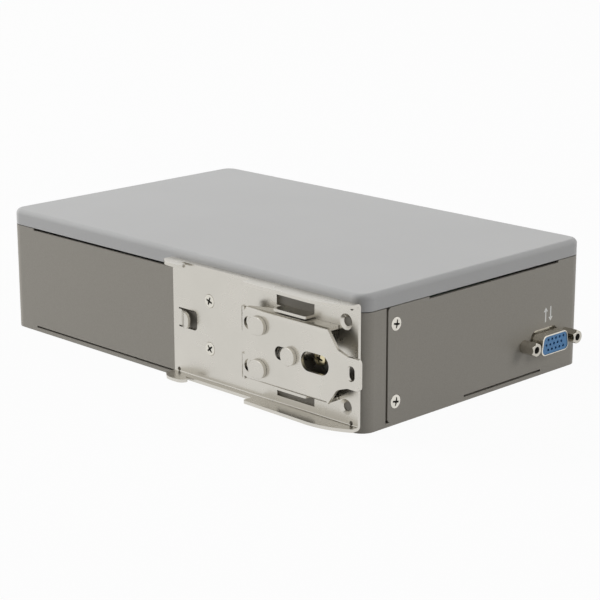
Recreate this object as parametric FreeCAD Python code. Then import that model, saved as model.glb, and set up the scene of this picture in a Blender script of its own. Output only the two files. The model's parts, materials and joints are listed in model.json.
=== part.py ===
"""Fanless industrial PC with a DIN-rail clip.

Frame: X runs along the long side, with the D-sub side face at +X.  The long face with the rail clip
is at -Y and the long face with the power button and ports is at +Y.  Z is up, and Z = 0 is the
underside of the base plate.  The origin is the middle of that underside.  Millimetres throughout.
"""
import FreeCAD, Part
import math
import os

V = FreeCAD.Vector
UP = V(0, 0, 1)

# ---------------------------------------------------------------- driving dimensions
# case
case_length = 200.0
case_depth = 123.0
case_height = 50.0
corner_radius = 5.5
base_thickness = 1.5
sheet = 1.2
lid_height = 6.2
lid_top = 2.8
lid_skirt = 2.5
lid_edge_radius = 2.0
seam = 0.3
relief_height = 0.8
relief_end = 15.0
rear_return = 11.7
panel_gap = 1.0
panel_corner_radius = 1.6

# shell tabs and the posts that tie the case together
tab_reach = 14.0
post_inset_x = 11.0
post_inset_y = 9.0
post_flats = 5.5
post_screw_tip = 8.5
strip_thickness = 1.5
strip_width = 13.0
strip_margin = 3.0

# screws: root radius of the thread, clearance hole, countersunk head
m3_root = 1.2
m3_tapped = 1.25
m3_clear = 1.6
m3_head = 2.7
m3_head_depth = 1.1
m4_tapped = 1.65
fit_gap = 0.05
panel_screw_from_rear = 16.9
panel_screw_low = 8.6
panel_screw_high = 37.0

# wall bracket pattern in the base plate
bracket_spacing_x = 176.0
bracket_spacing_y = 60.0
bracket_nut_radius = 4.0
bracket_nut_spigot = 2.7
bracket_nut_height = 3.6

# DIN-rail clip: h is a distance out from the rear face
rail_width = 35.0
clip_sheet = 1.2
clip_end_gap = 1.1
clip_length = 96.0
clip_bottom = 1.8
clip_height = 45.6
clip_bend = 1.6
seat_height = 4.1
hook_gap = 1.3
hook_throat_in = 9.5
hook_nose_reach = 2.8
hook_out = 8.7
guard_gap = 0.8
guard_out_start = 8.4
guard_out_peak = 9.0
guard_peak_in = 31.0
guard_end_out = 3.9
finger_in = 3.0
finger_hole_length = 10.2
finger_hole_height = 7.5
finger_gap = 0.6
finger_reach = 8.2
finger_lift = 3.4
window_in = 11.5
window_length = 18.9
window_height = 4.0
guide_inset = 2.3
guide_length = 16.4
guide_out = 5.6
guide_sheet = 1.0
clip_screw_in = 20.1
clip_screw_spread = 9.2
tail_screw_in = 34.1
corner_hole_in = 5.8
corner_hole_spread = 15.4
corner_hole_radius = 1.7
corner_hole_sink = 2.9

# sliding latch: "in" distances run from the rail's far edge towards the tail
latch_sheet = 1.2
latch_face_out = 7.8
latch_lap = 1.1
latch_lip = 2.0
latch_half = 13.55
latch_side_gap = 0.4
latch_shoulder_in = 43.1
latch_tail_in = 58.5
latch_tail_half = 5.65
latch_travel = 5.0
latch_foot_gap = 0.1
latch_rim = 1.8
slot_play = 0.2
stud_pair_in = 8.9
stud_pair_spread = 8.0
stud_single_in = 24.7
stud_shank = 2.3
stud_head = 3.4
stud_head_extra = 1.4
stud_head_height = 1.6
stud_play = 0.1
access_in = 30.3
access_length = 13.5
access_half = 3.6
tail_hole_in = 54.3
tail_hole_width = 3.6
tail_hole_height = 5.6
tongue_half = 3.6
tongue_notch = 0.6
spring_radius = 1.9
spring_wire = 0.35
spring_turns = 9.0

# 15-way D-sub port in the side face
dsub_from_rear = 100.8
dsub_height = 13.5
dsub_screw_spacing = 24.99
dsub_out = 5.5
dsub_shell_wall = 0.45
dsub_half_wide = 8.17
dsub_half_tall = 3.95
dsub_slant = 10.0
dsub_corner = 2.3
dsub_cut_gap = 0.85
dsub_flange_length = 28.4
dsub_flange_height = 12.5
dsub_flange = 0.8
dsub_flange_hole = 1.5
dsub_pitch = 2.29
dsub_row = 1.98
dsub_hole = 0.55
dsub_hole_depth = 4.2
jack_flats = 4.8
jack_out = 6.6

# boards
board_sheet = 1.6
main_left_gap = 28.8
main_right_gap = 22.8
main_front_gap = 1.8
main_width = 102.0
main_drop = 18.2
main_post_inset = 4.5
main_post_setback = 12.5
dio_underside = 6.5
dio_length = 21.5
dio_width = 19.8
dio_post_inset = 3.5
header_side = 5.0
header_length = 14.0
header_height = 7.0
header_shift = 2.4
drive_post_reach = 73.5
cable_width = 12.7
cable_thickness = 0.9
cable_bend = 1.6
board_post_flats = 5.0
board_screw_head = 2.6
board_screw_head_height = 1.6
board_screw_length = 5.0

# processor stack
processor_side = 24.0
processor_height = 2.2
pad_thickness = 0.8
block_side = 46.0
lid_pad_raise = 1.0
block_screw_inset = 4.5
lid_pad_side = 32.0

# ports along the front face, laid out from the main board's left end
port_gap = 0.4
port_row_start = 5.5
port_spacing = 1.9
lan_width = 16.0
lan_height = 13.4
lan_depth = 21.0
usb_width = 14.6
usb_height = 15.8
usb_depth = 17.5
video_width = 15.0
video_height = 6.2
video_depth = 11.5
dc_width = 18.0
com_width = 30.8
dc_height = 11.0
dc_depth = 12.0
port_wall = 0.4
port_proud = 0.6
power_from_side = 22.5
power_z = 21.0
power_bezel_radius = 7.5
power_cap_radius = 5.4
power_travel = 1.2
power_collar = 0.8
led_z = 36.0
led_spread = 4.0
led_radius = 1.5
status_board_gap = 6.0
status_board_width = 13.0

half_length = case_length / 2
half_depth = case_depth / 2
rear = -half_depth
front = half_depth
seam_z = case_height - lid_height
shell_top = seam_z - seam
lid_under = case_height - lid_top
inner_front = front - sheet
inner_rear = rear + sheet
inner_side = half_length - sheet
clip_mid = clip_bottom + clip_height / 2
clip_end = half_length - clip_end_gap
clip_start = clip_end - clip_length
clip_top = clip_bottom + clip_height
hook_throat = clip_start + hook_throat_in
rail_edge = hook_throat + rail_width
latch_start = rail_edge - latch_lap
stud_pair_x = rail_edge + stud_pair_in
stud_single_x = rail_edge + stud_single_in
tail_screw_x = rail_edge + tail_screw_in
main_underside = lid_under - main_drop
main_top = main_underside + board_sheet
main_front = inner_front - main_front_gap
power_x = -half_length + power_from_side

parts = {}


# ---------------------------------------------------------------- helpers
def fuse(shapes):
    """Join touching shapes into one solid with no seams left on flat faces."""
    shapes = list(shapes)
    return shapes[0].fuse(shapes[1:]).removeSplitter() if len(shapes) > 1 else shapes[0]


def cut(shape, tools):
    """Take every tool away from the shape."""
    return shape.cut(list(tools))


def box(x0, x1, y0, y1, z0, z1):
    """Box between two corners."""
    return Part.makeBox(x1 - x0, y1 - y0, z1 - z0, V(x0, y0, z0))


def rod(radius, start, end):
    """Round bar between two points."""
    axis = end - start
    return Part.makeCylinder(radius, axis.Length, start, axis)


def hex_bar(flats, start, end):
    """Hexagonal bar between two points, with two corners on the bar's own left and right."""
    axis = end - start
    radius = flats / math.sqrt(3)
    turn = FreeCAD.Rotation(UP, axis)
    angles = [k * math.pi / 3 for k in range(7)]
    corners = [V(radius * math.cos(a), radius * math.sin(a), 0) for a in angles]
    wire = Part.makePolygon([start + turn.multVec(c) for c in corners])
    return Part.Face(wire).extrude(axis)


def plan(a, b):
    """Point of a drawing in the XY plane."""
    return V(a, b, 0)


def elevation(a, b):
    """Point of a drawing in the XZ plane."""
    return V(a, 0, b)


def side(a, b):
    """Point of a drawing in the YZ plane."""
    return V(0, a, b)


def rounded_outline(corners, plane):
    """Closed face from (a, b, radius) corners: straight sides joined by tangent arcs."""
    edges = []
    count = len(corners)
    joins = []
    for k, (a, b, radius) in enumerate(corners):
        here = V(a, b, 0)
        before = V(corners[k - 1][0], corners[k - 1][1], 0) - here
        after = V(corners[(k + 1) % count][0], corners[(k + 1) % count][1], 0) - here
        before.normalize()
        after.normalize()
        if radius <= 0:
            joins.append((here, None, here))
            continue
        half = before.getAngle(after) / 2
        middle = before + after
        middle.normalize()
        centre = here + middle * (radius / math.sin(half))
        reach = radius / math.tan(half)
        joins.append((here + before * reach, centre - middle * radius, here + after * reach))
    for k, (first, middle, last) in enumerate(joins):
        following = joins[(k + 1) % count][0]
        if middle is not None:
            edges.append(Part.Arc(*[plane(p.x, p.y) for p in (first, middle, last)]).toShape())
        if (following - last).Length > 1e-6:
            edges.append(Part.LineSegment(plane(last.x, last.y), plane(following.x, following.y)).toShape())
    return Part.Face(Part.Wire(edges))


def obround(a, b, length, height, plane):
    """Slot outline, rounded on its two short ends, centred at (a, b)."""
    radius = min(length, height) / 2 - 1e-4
    corners = [(a - length / 2, b - height / 2), (a + length / 2, b - height / 2),
               (a + length / 2, b + height / 2), (a - length / 2, b + height / 2)]
    return rounded_outline([(p, q, radius) for p, q in corners], plane)


def bent_strip(points, thickness, bend, plane):
    """Face of folded sheet: its middle line runs through the points, with round bends between."""
    pts = [V(a, b, 0) for a, b in points]
    rails = []
    for offset in (thickness / 2, -thickness / 2):
        edges = []
        last = None
        for k in range(1, len(pts)):
            run = pts[k] - pts[k - 1]
            run.normalize()
            normal = V(-run.y, run.x, 0)
            if last is None:
                last = pts[0] + normal * offset
            if k == len(pts) - 1:
                edges.append((last, None, pts[k] + normal * offset))
                continue
            following = pts[k + 1] - pts[k]
            following.normalize()
            turn = math.atan2(run.x * following.y - run.y * following.x, run.dot(following))
            sign = 1 if turn > 0 else -1
            reach = bend * math.tan(abs(turn) / 2)
            centre = pts[k] - run * reach + normal * (sign * bend)
            arm = normal * (-sign * (bend - sign * offset))
            turns = [FreeCAD.Rotation(UP, math.degrees(turn * share)) for share in (0, 0.5, 1)]
            arc = [centre + rotation.multVec(arm) for rotation in turns]
            edges.append((last, None, arc[0]))
            edges.append((arc[0], arc[1], arc[2]))
            last = arc[2]
        rails.append(edges)
    far = [(c, b, a) for a, b, c in reversed(rails[1])]
    loop = rails[0] + [(rails[0][-1][2], None, far[0][0])] + far + [(far[-1][2], None, rails[0][0][0])]
    shapes = []
    for a, b, c in loop:
        if b is None:
            shapes.append(Part.LineSegment(plane(a.x, a.y), plane(c.x, c.y)).toShape())
        else:
            shapes.append(Part.Arc(*[plane(p.x, p.y) for p in (a, b, c)]).toShape())
    return Part.Face(Part.Wire(shapes))


def lift(face, z0, z1):
    """Raise a plan face into a solid between two heights."""
    face.translate(V(0, 0, z0))
    return face.extrude(V(0, 0, z1 - z0))


def thicken(face, y0, y1):
    """Extrude an XZ face between two Y planes."""
    face.translate(V(0, y0, 0))
    return face.extrude(V(0, y1 - y0, 0))


def widen(face, x0, x1):
    """Extrude a YZ face between two X planes."""
    face.translate(V(x0, 0, 0))
    return face.extrude(V(x1 - x0, 0, 0))


def mirrored(shape, normal, at=V(0, 0, 0)):
    """Mirror image about a plane."""
    return shape.mirror(at, normal)


def about_clip_mid(shape):
    """The same shape on the other side of the clip's middle height."""
    return mirrored(shape, UP, V(0, 0, clip_mid))


def countersunk_screw(tip, head_face, root=m3_root, head=m3_head, depth=m3_head_depth):
    """Flat-headed screw from its tip to the face of its head."""
    axis = head_face - tip
    length = axis.Length
    axis.normalize()
    shank = Part.makeCylinder(root, length - depth / 2, tip, axis)
    cone = Part.makeCone(root, head, depth, head_face - axis * depth, axis)
    return fuse([shank, cone])


def sink(face_point, inward, through, head=m3_head + fit_gap, clear=m3_clear, depth=m3_head_depth):
    """Tool for a countersunk clearance hole that starts at face_point and runs inward."""
    cone = Part.makeCone(head, m3_root + fit_gap, depth, face_point, inward)
    return [cone, Part.makeCylinder(clear, through, face_point, inward)]


def pan_screw(tip, seat, root=m3_root, head=board_screw_head, height=board_screw_head_height):
    """Pan-headed screw: seat is where the underside of the head lies on the axis."""
    axis = seat - tip
    axis.normalize()
    shank = rod(root, tip, seat + axis * 0.2)
    return fuse([shank, Part.makeCylinder(head, height, seat, axis)])


def group(shapes):
    """Several separate solids that share one node."""
    return Part.makeCompound(list(shapes))


def add(name, shape):
    """Record a finished piece under its node name."""
    parts[name] = shape


def out(h):
    """Y of a point that stands h out from the rear face."""
    return rear - h


def quadrants(x, y):
    """The four points (+-x, +-y)."""
    return [(sx * x, sy * y) for sx in (-1, 1) for sy in (-1, 1)]


# ---------------------------------------------------------------- case
post_points = quadrants(half_length - post_inset_x, half_depth - post_inset_y)
bracket_points = quadrants(bracket_spacing_x / 2, bracket_spacing_y / 2)


def case_outline(inset=0.0):
    """Plan outline of the case, drawn in by inset."""
    radius = corner_radius - inset
    return rounded_outline([(x, y, radius) for x, y in (
        (-half_length + inset, rear + inset), (half_length - inset, rear + inset),
        (half_length - inset, front - inset), (-half_length + inset, front - inset))], plan)


def make_lid():
    """Cast cover: flat top with a rounded rim, a skirt, corner bosses and a raised heat pad."""
    body = lift(case_outline(), seam_z, case_height)
    rim = [edge for edge in body.Edges if abs(edge.BoundBox.ZMin - case_height) < 1e-4]
    body = body.makeFillet(lid_edge_radius, rim)
    body = body.cut(lift(case_outline(lid_skirt), seam_z, lid_under))
    bosses = []
    for x, y in post_points:
        bosses.append(rod(4.2, V(x, y, shell_top), V(x, y, lid_under)))
    pad = box(block_x - block_side / 2, block_x + block_side / 2, block_y - block_side / 2,
              block_y + block_side / 2, lid_under - lid_pad_raise, lid_under)
    ribs = [box(x - 1, x + 1, rear + lid_skirt, front - lid_skirt, lid_under - 1.2, lid_under)
            for x in (-70, -45, 51, 70)]
    body = fuse([body, pad] + bosses + ribs)
    stud_hole = m3_root + 0.2 + fit_gap
    holes = [rod(stud_hole, V(x, y, shell_top - 1), V(x, y, case_height - 1.6)) for x, y in post_points]
    holes += [rod(m3_tapped, V(x, y, lid_under - lid_pad_raise - 1), V(x, y, case_height - 1.4))
              for x, y in block_screw_points]
    return cut(body, holes)


def make_base_plate():
    """Flat bottom cover with countersunk post holes and clinch-nut holes."""
    plate = lift(case_outline(), 0, base_thickness)
    tools = []
    for x, y in post_points:
        tools += sink(V(x, y, 0), UP, base_thickness + 1)
    for x, y in bracket_points:
        tools.append(rod(bracket_nut_spigot, V(x, y, -1), V(x, y, base_thickness + 1)))
    return cut(plate, tools)


def shell_tabs(y_sign):
    """Fold-in tabs at the bottom and top of a long wall, one pair at each end, with post holes."""
    tabs = []
    wall = y_sign * (half_depth - sheet / 2)
    reach = y_sign * (half_depth - tab_reach)
    for x_sign in (-1, 1):
        x_far = x_sign * (half_length - corner_radius)
        x_near = x_sign * (half_length - relief_end)
        for z0 in (base_thickness, shell_top - sheet):
            x0, x1 = sorted((x_near, x_far + x_sign * 1.5))
            y0, y1 = sorted((wall, reach))
            tab = box(x0, x1, y0, y1, z0, z0 + sheet)
            tabs.append(tab)
    return tabs


def post_hole_tools():
    """Clearance holes for the posts' screws and studs through the shells' tabs."""
    return [rod(m3_clear, V(x, y, base_thickness - 0.5), V(x, y, shell_top + 0.5)) for x, y in post_points]


def long_reliefs(y_sign):
    """Shallow clearances along the top and bottom edges of a long wall."""
    x1 = half_length - relief_end
    y0, y1 = sorted((y_sign * (half_depth - 2 * sheet), y_sign * (half_depth + 1)))
    return [box(-x1, x1, y0, y1, base_thickness - 1, base_thickness + relief_height),
            box(-x1, x1, y0, y1, shell_top - relief_height, shell_top + 1)]


def make_rear_shell():
    """Folded sheet: the long rear wall with a short return round each corner."""
    mid = sheet / 2
    end = rear + rear_return
    path = [(half_length - mid, end), (half_length - mid, rear + mid),
            (-half_length + mid, rear + mid), (-half_length + mid, end)]
    wall = lift(bent_strip(path, sheet, corner_radius - mid, plan), base_thickness, shell_top)
    shell = fuse([wall] + shell_tabs(-1))
    tools = post_hole_tools() + long_reliefs(-1)
    for x, z in clip_screw_points + [tail_screw_point]:
        tools.append(rod(m3_clear, V(x, rear - 1, z), V(x, inner_rear + 1, z)))
    return cut(shell, tools)


def panel_end_edges(shape):
    """The short edges at the front shell's free ends, which are rounded off."""
    y = rear + rear_return + panel_gap
    found = []
    for edge in shape.Edges:
        box_ = edge.BoundBox
        flat = box_.YLength < 1e-4 and box_.ZLength < 1e-4
        if flat and abs(box_.YMin - y) < 1e-4 and abs(box_.XLength - sheet) < 1e-3:
            found.append(edge)
    return found


def make_front_shell():
    """Folded sheet U: the long port wall and both side faces, cut for the ports and screws."""
    mid = sheet / 2
    end = rear + rear_return + panel_gap
    path = [(half_length - mid, end), (half_length - mid, front - mid),
            (-half_length + mid, front - mid), (-half_length + mid, end)]
    wall = lift(bent_strip(path, sheet, corner_radius - mid, plan), base_thickness, shell_top)
    wall = wall.makeFillet(panel_corner_radius, panel_end_edges(wall))
    shell = fuse([wall] + shell_tabs(1))
    tools = post_hole_tools() + long_reliefs(1)
    for sign in (-1, 1):
        x0, x1 = sorted((sign * (half_length - 2 * sheet), sign * (half_length + 1)))
        tools.append(box(x0, x1, rear + 34, front - relief_end, shell_top - relief_height, shell_top + 1))
        tools.append(box(x0, x1, rear + 54, rear + 99, base_thickness - 1, base_thickness + relief_height))
        for z in (panel_screw_low, panel_screw_high):
            tools += sink(V(sign * half_length, panel_screw_y, z), V(-sign, 0, 0), sheet + 1)
    tools.append(widen(d_outline(dsub_cut_gap, dsub_y, dsub_height), inner_side - 1, half_length + 1))
    for y in jack_ys:
        tools.append(rod(m3_clear, V(inner_side - 1, y, dsub_height), V(half_length + 1, y, dsub_height)))
    tools += front_port_tools()
    return cut(shell, tools)


def make_joint_strip(sign):
    """Strip fixed inside one return of the rear shell, tapped for two panel screws."""
    x0, x1 = sorted((sign * (inner_side - strip_thickness), sign * inner_side))
    y0 = rear + corner_radius
    strip = box(x0, x1, y0, y0 + strip_width, base_thickness + strip_margin, shell_top - strip_margin)
    holes = [rod(m3_tapped, V(x0 - 1, panel_screw_y, z), V(x1 + 1, panel_screw_y, z))
             for z in (panel_screw_low, panel_screw_high)]
    return cut(strip, holes)


def make_post(x, y):
    """Hex post between the shells' tabs, tapped below and with a stud on top."""
    z0 = base_thickness + sheet
    z1 = shell_top - sheet
    bar = hex_bar(post_flats, V(x, y, z0), V(x, y, z1))
    stud = rod(m3_root + 0.2, V(x, y, z1 - 0.5), V(x, y, case_height - 2.4))
    return cut(fuse([bar, stud]), [rod(m3_tapped, V(x, y, z0 - 1), V(x, y, z0 + 9))])


def make_bracket_nut(x, y):
    """Clinch nut: a spigot in the base plate and a round body above it, tapped through."""
    spigot = rod(bracket_nut_spigot - fit_gap, V(x, y, 0), V(x, y, base_thickness + 0.2))
    body = rod(bracket_nut_radius, V(x, y, base_thickness), V(x, y, bracket_nut_height))
    return cut(fuse([spigot, body]), [rod(m4_tapped, V(x, y, -1), V(x, y, bracket_nut_height + 1))])


# ---------------------------------------------------------------- DIN-rail clip
clip_screw_points = [(clip_start + clip_screw_in, clip_mid + sign * clip_screw_spread) for sign in (-1, 1)]
tail_screw_point = (tail_screw_x, clip_mid)
stud_points = [(stud_pair_x, clip_mid + stud_pair_spread), (stud_pair_x, clip_mid - stud_pair_spread),
               (stud_single_x, clip_mid)]


def flange_outline():
    """Side flange of the clip: hook, rail seat and the guard that shields the latch."""
    under = seat_height + hook_gap
    hook_nose = hook_throat + hook_nose_reach
    guard_start = rail_edge + guard_gap
    guard_peak = rail_edge + guard_peak_in
    edges = []

    def line(a, b, c, d):
        edges.append(Part.LineSegment(V(a, out(b), 0), V(c, out(d), 0)).toShape())

    def arc(a, b, c, d, e, f):
        edges.append(Part.Arc(V(a, out(b), 0), V(c, out(d), 0), V(e, out(f), 0)).toShape())

    line(clip_start, 0, clip_start, hook_out - 3.0)
    line(clip_start, hook_out - 3.0, clip_start + 3.4, hook_out - 0.5)
    arc(clip_start + 3.4, hook_out - 0.5, clip_start + 6.0, hook_out, clip_start + 8.6, hook_out)
    line(clip_start + 8.6, hook_out, hook_throat, hook_out)
    arc(hook_throat, hook_out, hook_nose - 0.6, hook_out - 1.1, hook_nose, under + 0.4)
    line(hook_nose, under + 0.4, hook_nose - 0.4, under)
    throat_radius = hook_gap / 2
    line(hook_nose - 0.4, under, hook_throat + throat_radius, under)
    arc(hook_throat + throat_radius, under, hook_throat, under - throat_radius,
        hook_throat + throat_radius, seat_height)
    line(hook_throat + throat_radius, seat_height, guard_start, seat_height)
    line(guard_start, seat_height, guard_start, guard_out_start - 1.2)
    arc(guard_start, guard_out_start - 1.2, guard_start + 0.4, guard_out_start - 0.3,
        guard_start + 1.3, guard_out_start)
    line(guard_start + 1.3, guard_out_start, guard_peak, guard_out_peak)
    middle_x = guard_peak + 0.6 * (clip_end - guard_peak)
    arc(guard_peak, guard_out_peak, middle_x, 0.62 * guard_out_peak + 0.38 * guard_end_out + 0.6,
        clip_end, guard_end_out)
    line(clip_end, guard_end_out, clip_end, 0)
    line(clip_end, 0, clip_start, 0)
    return Part.Face(Part.Wire(edges))


def clip_bend_edges(shape, radius_y):
    """Long edges of the two folds at one distance from the rear face."""
    found = []
    for edge in shape.Edges:
        box_ = edge.BoundBox
        straight = box_.YLength < 1e-4 and box_.ZLength < 1e-4
        if straight and box_.XLength > clip_length / 2 and abs(box_.YMin - radius_y) < 1e-4:
            found.append(edge)
    return found


def make_clip_plate():
    """Plated steel channel: web, two hooked flanges, centre finger, guide tabs and windows."""
    web = box(clip_start, clip_end, out(clip_sheet), out(0), clip_bottom, clip_top)
    low = lift(flange_outline(), clip_bottom, clip_bottom + clip_sheet)
    plate = fuse([web, low, about_clip_mid(low)])
    plate = plate.makeFillet(clip_bend, clip_bend_edges(plate, rear))
    inner = clip_bend_edges(plate, out(clip_sheet))
    plate = plate.makeFillet(clip_bend - clip_sheet, inner)
    finger_start = clip_start + finger_in
    hole = rounded_outline([
        (finger_start, clip_mid - finger_hole_height / 2, 0.3),
        (finger_start + finger_hole_length, clip_mid - finger_hole_height / 2, 1.6),
        (finger_start + finger_hole_length, clip_mid + finger_hole_height / 2, 1.6),
        (finger_start, clip_mid + finger_hole_height / 2, 0.3)], elevation)
    tools = [thicken(hole, out(clip_sheet + 1), out(-1))]
    window_start = rail_edge + window_in
    guide_start = window_start + guide_inset
    guide_top = clip_mid + latch_half + latch_side_gap + guide_sheet
    window = box(window_start, window_start + window_length, out(clip_sheet + 1), out(-1),
                 guide_top, guide_top + window_height)
    guide = rounded_outline([
        (guide_start, rear, 0), (guide_start + guide_length, rear, 0),
        (guide_start + guide_length, out(guide_out), 0.8), (guide_start, out(guide_out), 0.8)], plan)
    guide = lift(guide, guide_top - guide_sheet, guide_top)
    notch = rod(0.8, V(clip_end - 3.2, out(clip_sheet + 1), clip_top - clip_sheet - 0.9),
                V(clip_end - 3.2, out(-1), clip_top - clip_sheet - 0.9))
    notch_left = rod(0.8, V(clip_start + 2.6, out(clip_sheet + 1), clip_top - clip_sheet - 0.9),
                     V(clip_start + 2.6, out(-1), clip_top - clip_sheet - 0.9))
    tools += [window, about_clip_mid(window)]
    tools += [notch, notch_left, about_clip_mid(notch), about_clip_mid(notch_left)]
    for x, z in clip_screw_points:
        tools += sink(V(x, out(clip_sheet), z), V(0, 1, 0), clip_sheet + 1)
    tools.append(rod(m3_clear, V(tail_screw_x, out(clip_sheet + 1), clip_mid),
                     V(tail_screw_x, out(-1), clip_mid)))
    for sign in (-1, 1):
        z = clip_mid + sign * corner_hole_spread
        tools += sink(V(clip_end - corner_hole_in, out(clip_sheet), z), V(0, 1, 0), clip_sheet + 1,
                      head=corner_hole_sink, clear=corner_hole_radius)
    for x, z in stud_points:
        tools.append(rod(stud_shank + fit_gap, V(x, out(clip_sheet + 1), z), V(x, out(-1), z)))
    plate = cut(plate, tools)
    tip = finger_start + finger_reach
    finger_width = finger_hole_height - 2 * finger_gap
    web_mid = out(clip_sheet / 2)
    lifted = bent_strip([(finger_start - 0.6, web_mid), (finger_start + 1.6, web_mid),
                         (tip - 2.0, out(finger_lift)), (tip, out(finger_lift))], clip_sheet, 1.4, plan)
    finger = lift(lifted, clip_mid - finger_width / 2, clip_mid + finger_width / 2)
    low_z, high_z = clip_mid - finger_width / 2, clip_mid + finger_width / 2
    shape = rounded_outline([(finger_start - 1, low_z, 0), (tip, low_z, 2.4),
                             (tip, high_z, 2.4), (finger_start - 1, high_z, 0)], elevation)
    finger = finger.common(thicken(shape, out(finger_lift + 2), out(-1)))
    return fuse([plate, finger, guide, about_clip_mid(guide)])


def latch_outline():
    """Face-on outline of the latch: wide plate, slanted shoulders, narrow tail."""
    shoulder = rail_edge + latch_shoulder_in
    corners = [
        (latch_start, clip_mid - latch_half, 0.8),
        (shoulder, clip_mid - latch_half, 0.6),
        (shoulder + 4.6, clip_mid - latch_tail_half - 1.6, 3.6),
        (shoulder + 9.5, clip_mid - latch_tail_half, 2.0),
        (rail_edge + latch_tail_in, clip_mid - latch_tail_half, 1.6)]
    upper = [(x, 2 * clip_mid - z, r) for x, z, r in reversed(corners)]
    return rounded_outline(corners + upper, elevation)


def rim_cutter(x0, x1, sign):
    """Tool that rounds one long outer edge of the latch."""
    edge_z = clip_mid + sign * latch_half
    inner_z = edge_z - sign * latch_rim
    y_face = out(latch_face_out)
    centre_y = y_face + latch_rim
    z0, z1 = sorted((edge_z + sign, inner_z))
    block = box(x0, x1, y_face - 1, centre_y, z0, z1)
    return block.cut(rod(latch_rim, V(x0 - 1, centre_y, inner_z), V(x1 + 1, centre_y, inner_z)))


def make_latch():
    """Sliding latch: bent lip, side walls that ride on the web, slots, spring tongue and tail hole."""
    mid = latch_face_out - latch_sheet / 2
    lip_drop = latch_face_out - latch_sheet - seat_height - hook_gap
    profile = bent_strip([(rail_edge + latch_tail_in + 1, out(mid)), (latch_start + latch_lip, out(mid)),
                          (latch_start - 1, out(mid - lip_drop * 1.5))], latch_sheet, 3.0, plan)
    face = lift(profile, clip_mid - latch_half, clip_mid + latch_half)
    face = face.common(thicken(latch_outline(), out(latch_face_out + 1), out(0)))
    foot = clip_sheet + latch_foot_gap
    wall_start = latch_start + latch_lip + 1.0
    wall_end = rail_edge + latch_shoulder_in - 0.6
    wall_outline = rounded_outline([
        (wall_start, out(seat_height + hook_gap), 0.5), (wall_start + 10, out(foot), 1.5),
        (wall_end, out(foot), 0.5), (wall_end, out(latch_face_out), 0),
        (wall_start, out(latch_face_out), 0)], plan)
    wall = lift(wall_outline, clip_mid + latch_half - latch_sheet, clip_mid + latch_half)
    walls = [wall, about_clip_mid(wall)]
    tongue_x = latch_start + latch_lip + tongue_notch
    tongue = box(tongue_x, tongue_x + latch_sheet, out(latch_face_out), out(clip_sheet + 0.5),
                 clip_mid - tongue_half, clip_mid + tongue_half)
    latch = fuse([face, tongue] + walls)
    for sign in (-1, 1):
        latch = latch.cut(rim_cutter(wall_start - 0.5, rail_edge + latch_shoulder_in - 0.3, sign))
    tools = [box(latch_start - 1, tongue_x, out(latch_face_out + 1), out(0),
                 clip_mid - tongue_half - tongue_notch, clip_mid + tongue_half + tongue_notch)]
    for x, z in stud_points:
        half = stud_shank + slot_play
        slot = obround(x - latch_travel / 2, z, latch_travel + 2 * half, 2 * half, elevation)
        tools.append(thicken(slot, out(latch_face_out + 1), out(clip_sheet + 1)))
    access_x = rail_edge + access_in + access_length / 2
    access = obround(access_x, clip_mid, access_length, 2 * access_half, elevation)
    tools.append(thicken(access, out(latch_face_out + 1), out(clip_sheet + 1)))
    hole = obround(rail_edge + tail_hole_in, clip_mid, tail_hole_width, tail_hole_height, elevation)
    tools.append(thicken(hole, out(latch_face_out + 1), out(clip_sheet + 1)))
    return cut(latch, tools)


def make_stud(x, z, extra):
    """Shouldered stud: shank riveted in the web, head over the latch; extra lengthens the head."""
    seat = latch_face_out + stud_play
    shank = rod(stud_shank, V(x, out(0), z), V(x, out(seat + 0.2), z))
    head = obround(x, z, 2 * stud_head + extra, 2 * stud_head, elevation)
    head = thicken(head, out(seat + stud_head_height), out(seat))
    rim = [edge for edge in head.Edges if abs(edge.BoundBox.YMax - out(seat + stud_head_height)) < 1e-4]
    return fuse([shank, head.makeChamfer(0.25, rim)])


def hex_section(at, radius):
    """Hexagonal section of drawn wire in the XZ plane, centred at X = at."""
    angles = [k * math.pi / 3 for k in range(7)]
    corners = [V(at + radius * math.cos(a), 0, radius * math.sin(a)) for a in angles]
    return Part.Wire(Part.makePolygon(corners))


def make_spring():
    """Compression spring between the single stud and the latch's tongue."""
    start = latch_start + latch_lip + tongue_notch + latch_sheet + 0.05 + spring_wire
    end = stud_single_x - stud_shank - 0.05 - spring_wire
    pitch = (end - start) / spring_turns
    helix = Part.makeHelix(pitch, end - start, spring_radius)
    section = hex_section(spring_radius, spring_wire)
    coil = Part.Wire(helix).makePipeShell([section], True, True)
    middle = (clip_sheet + latch_face_out - latch_sheet) / 2
    coil.rotate(V(0, 0, 0), V(0, 1, 0), 90)
    coil.translate(V(start, out(middle), clip_mid))
    return Part.Solid(coil) if coil.ShapeType == "Shell" else coil


def make_clip_nut(x, z):
    """Clinch nut behind the rear shell for a clip screw."""
    nut = rod(3.0, V(x, inner_rear, z), V(x, inner_rear + 3, z))
    return cut(nut, [rod(m3_tapped, V(x, inner_rear - 1, z), V(x, inner_rear + 4, z))])


# ---------------------------------------------------------------- D-sub ports
dsub_y = rear + dsub_from_rear
jack_ys = [dsub_y - dsub_screw_spacing / 2, dsub_y + dsub_screw_spacing / 2]
panel_screw_y = rear + panel_screw_from_rear


def d_corners(grow, a, b, down=-1, half_wide=dsub_half_wide):
    """Corners of a D-sub outline grown outward, with its wide side down (-1) or up (+1)."""
    lean = math.tan(math.radians(dsub_slant)) * (dsub_half_tall + grow)
    wide = half_wide + grow + lean / 2
    narrow = half_wide + grow - lean * 1.5
    tall = dsub_half_tall + grow
    radius = dsub_corner + grow
    points = [(a - wide, b + down * tall, radius), (a + wide, b + down * tall, radius),
              (a + narrow, b - down * tall, radius), (a - narrow, b - down * tall, radius)]
    return points


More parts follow.
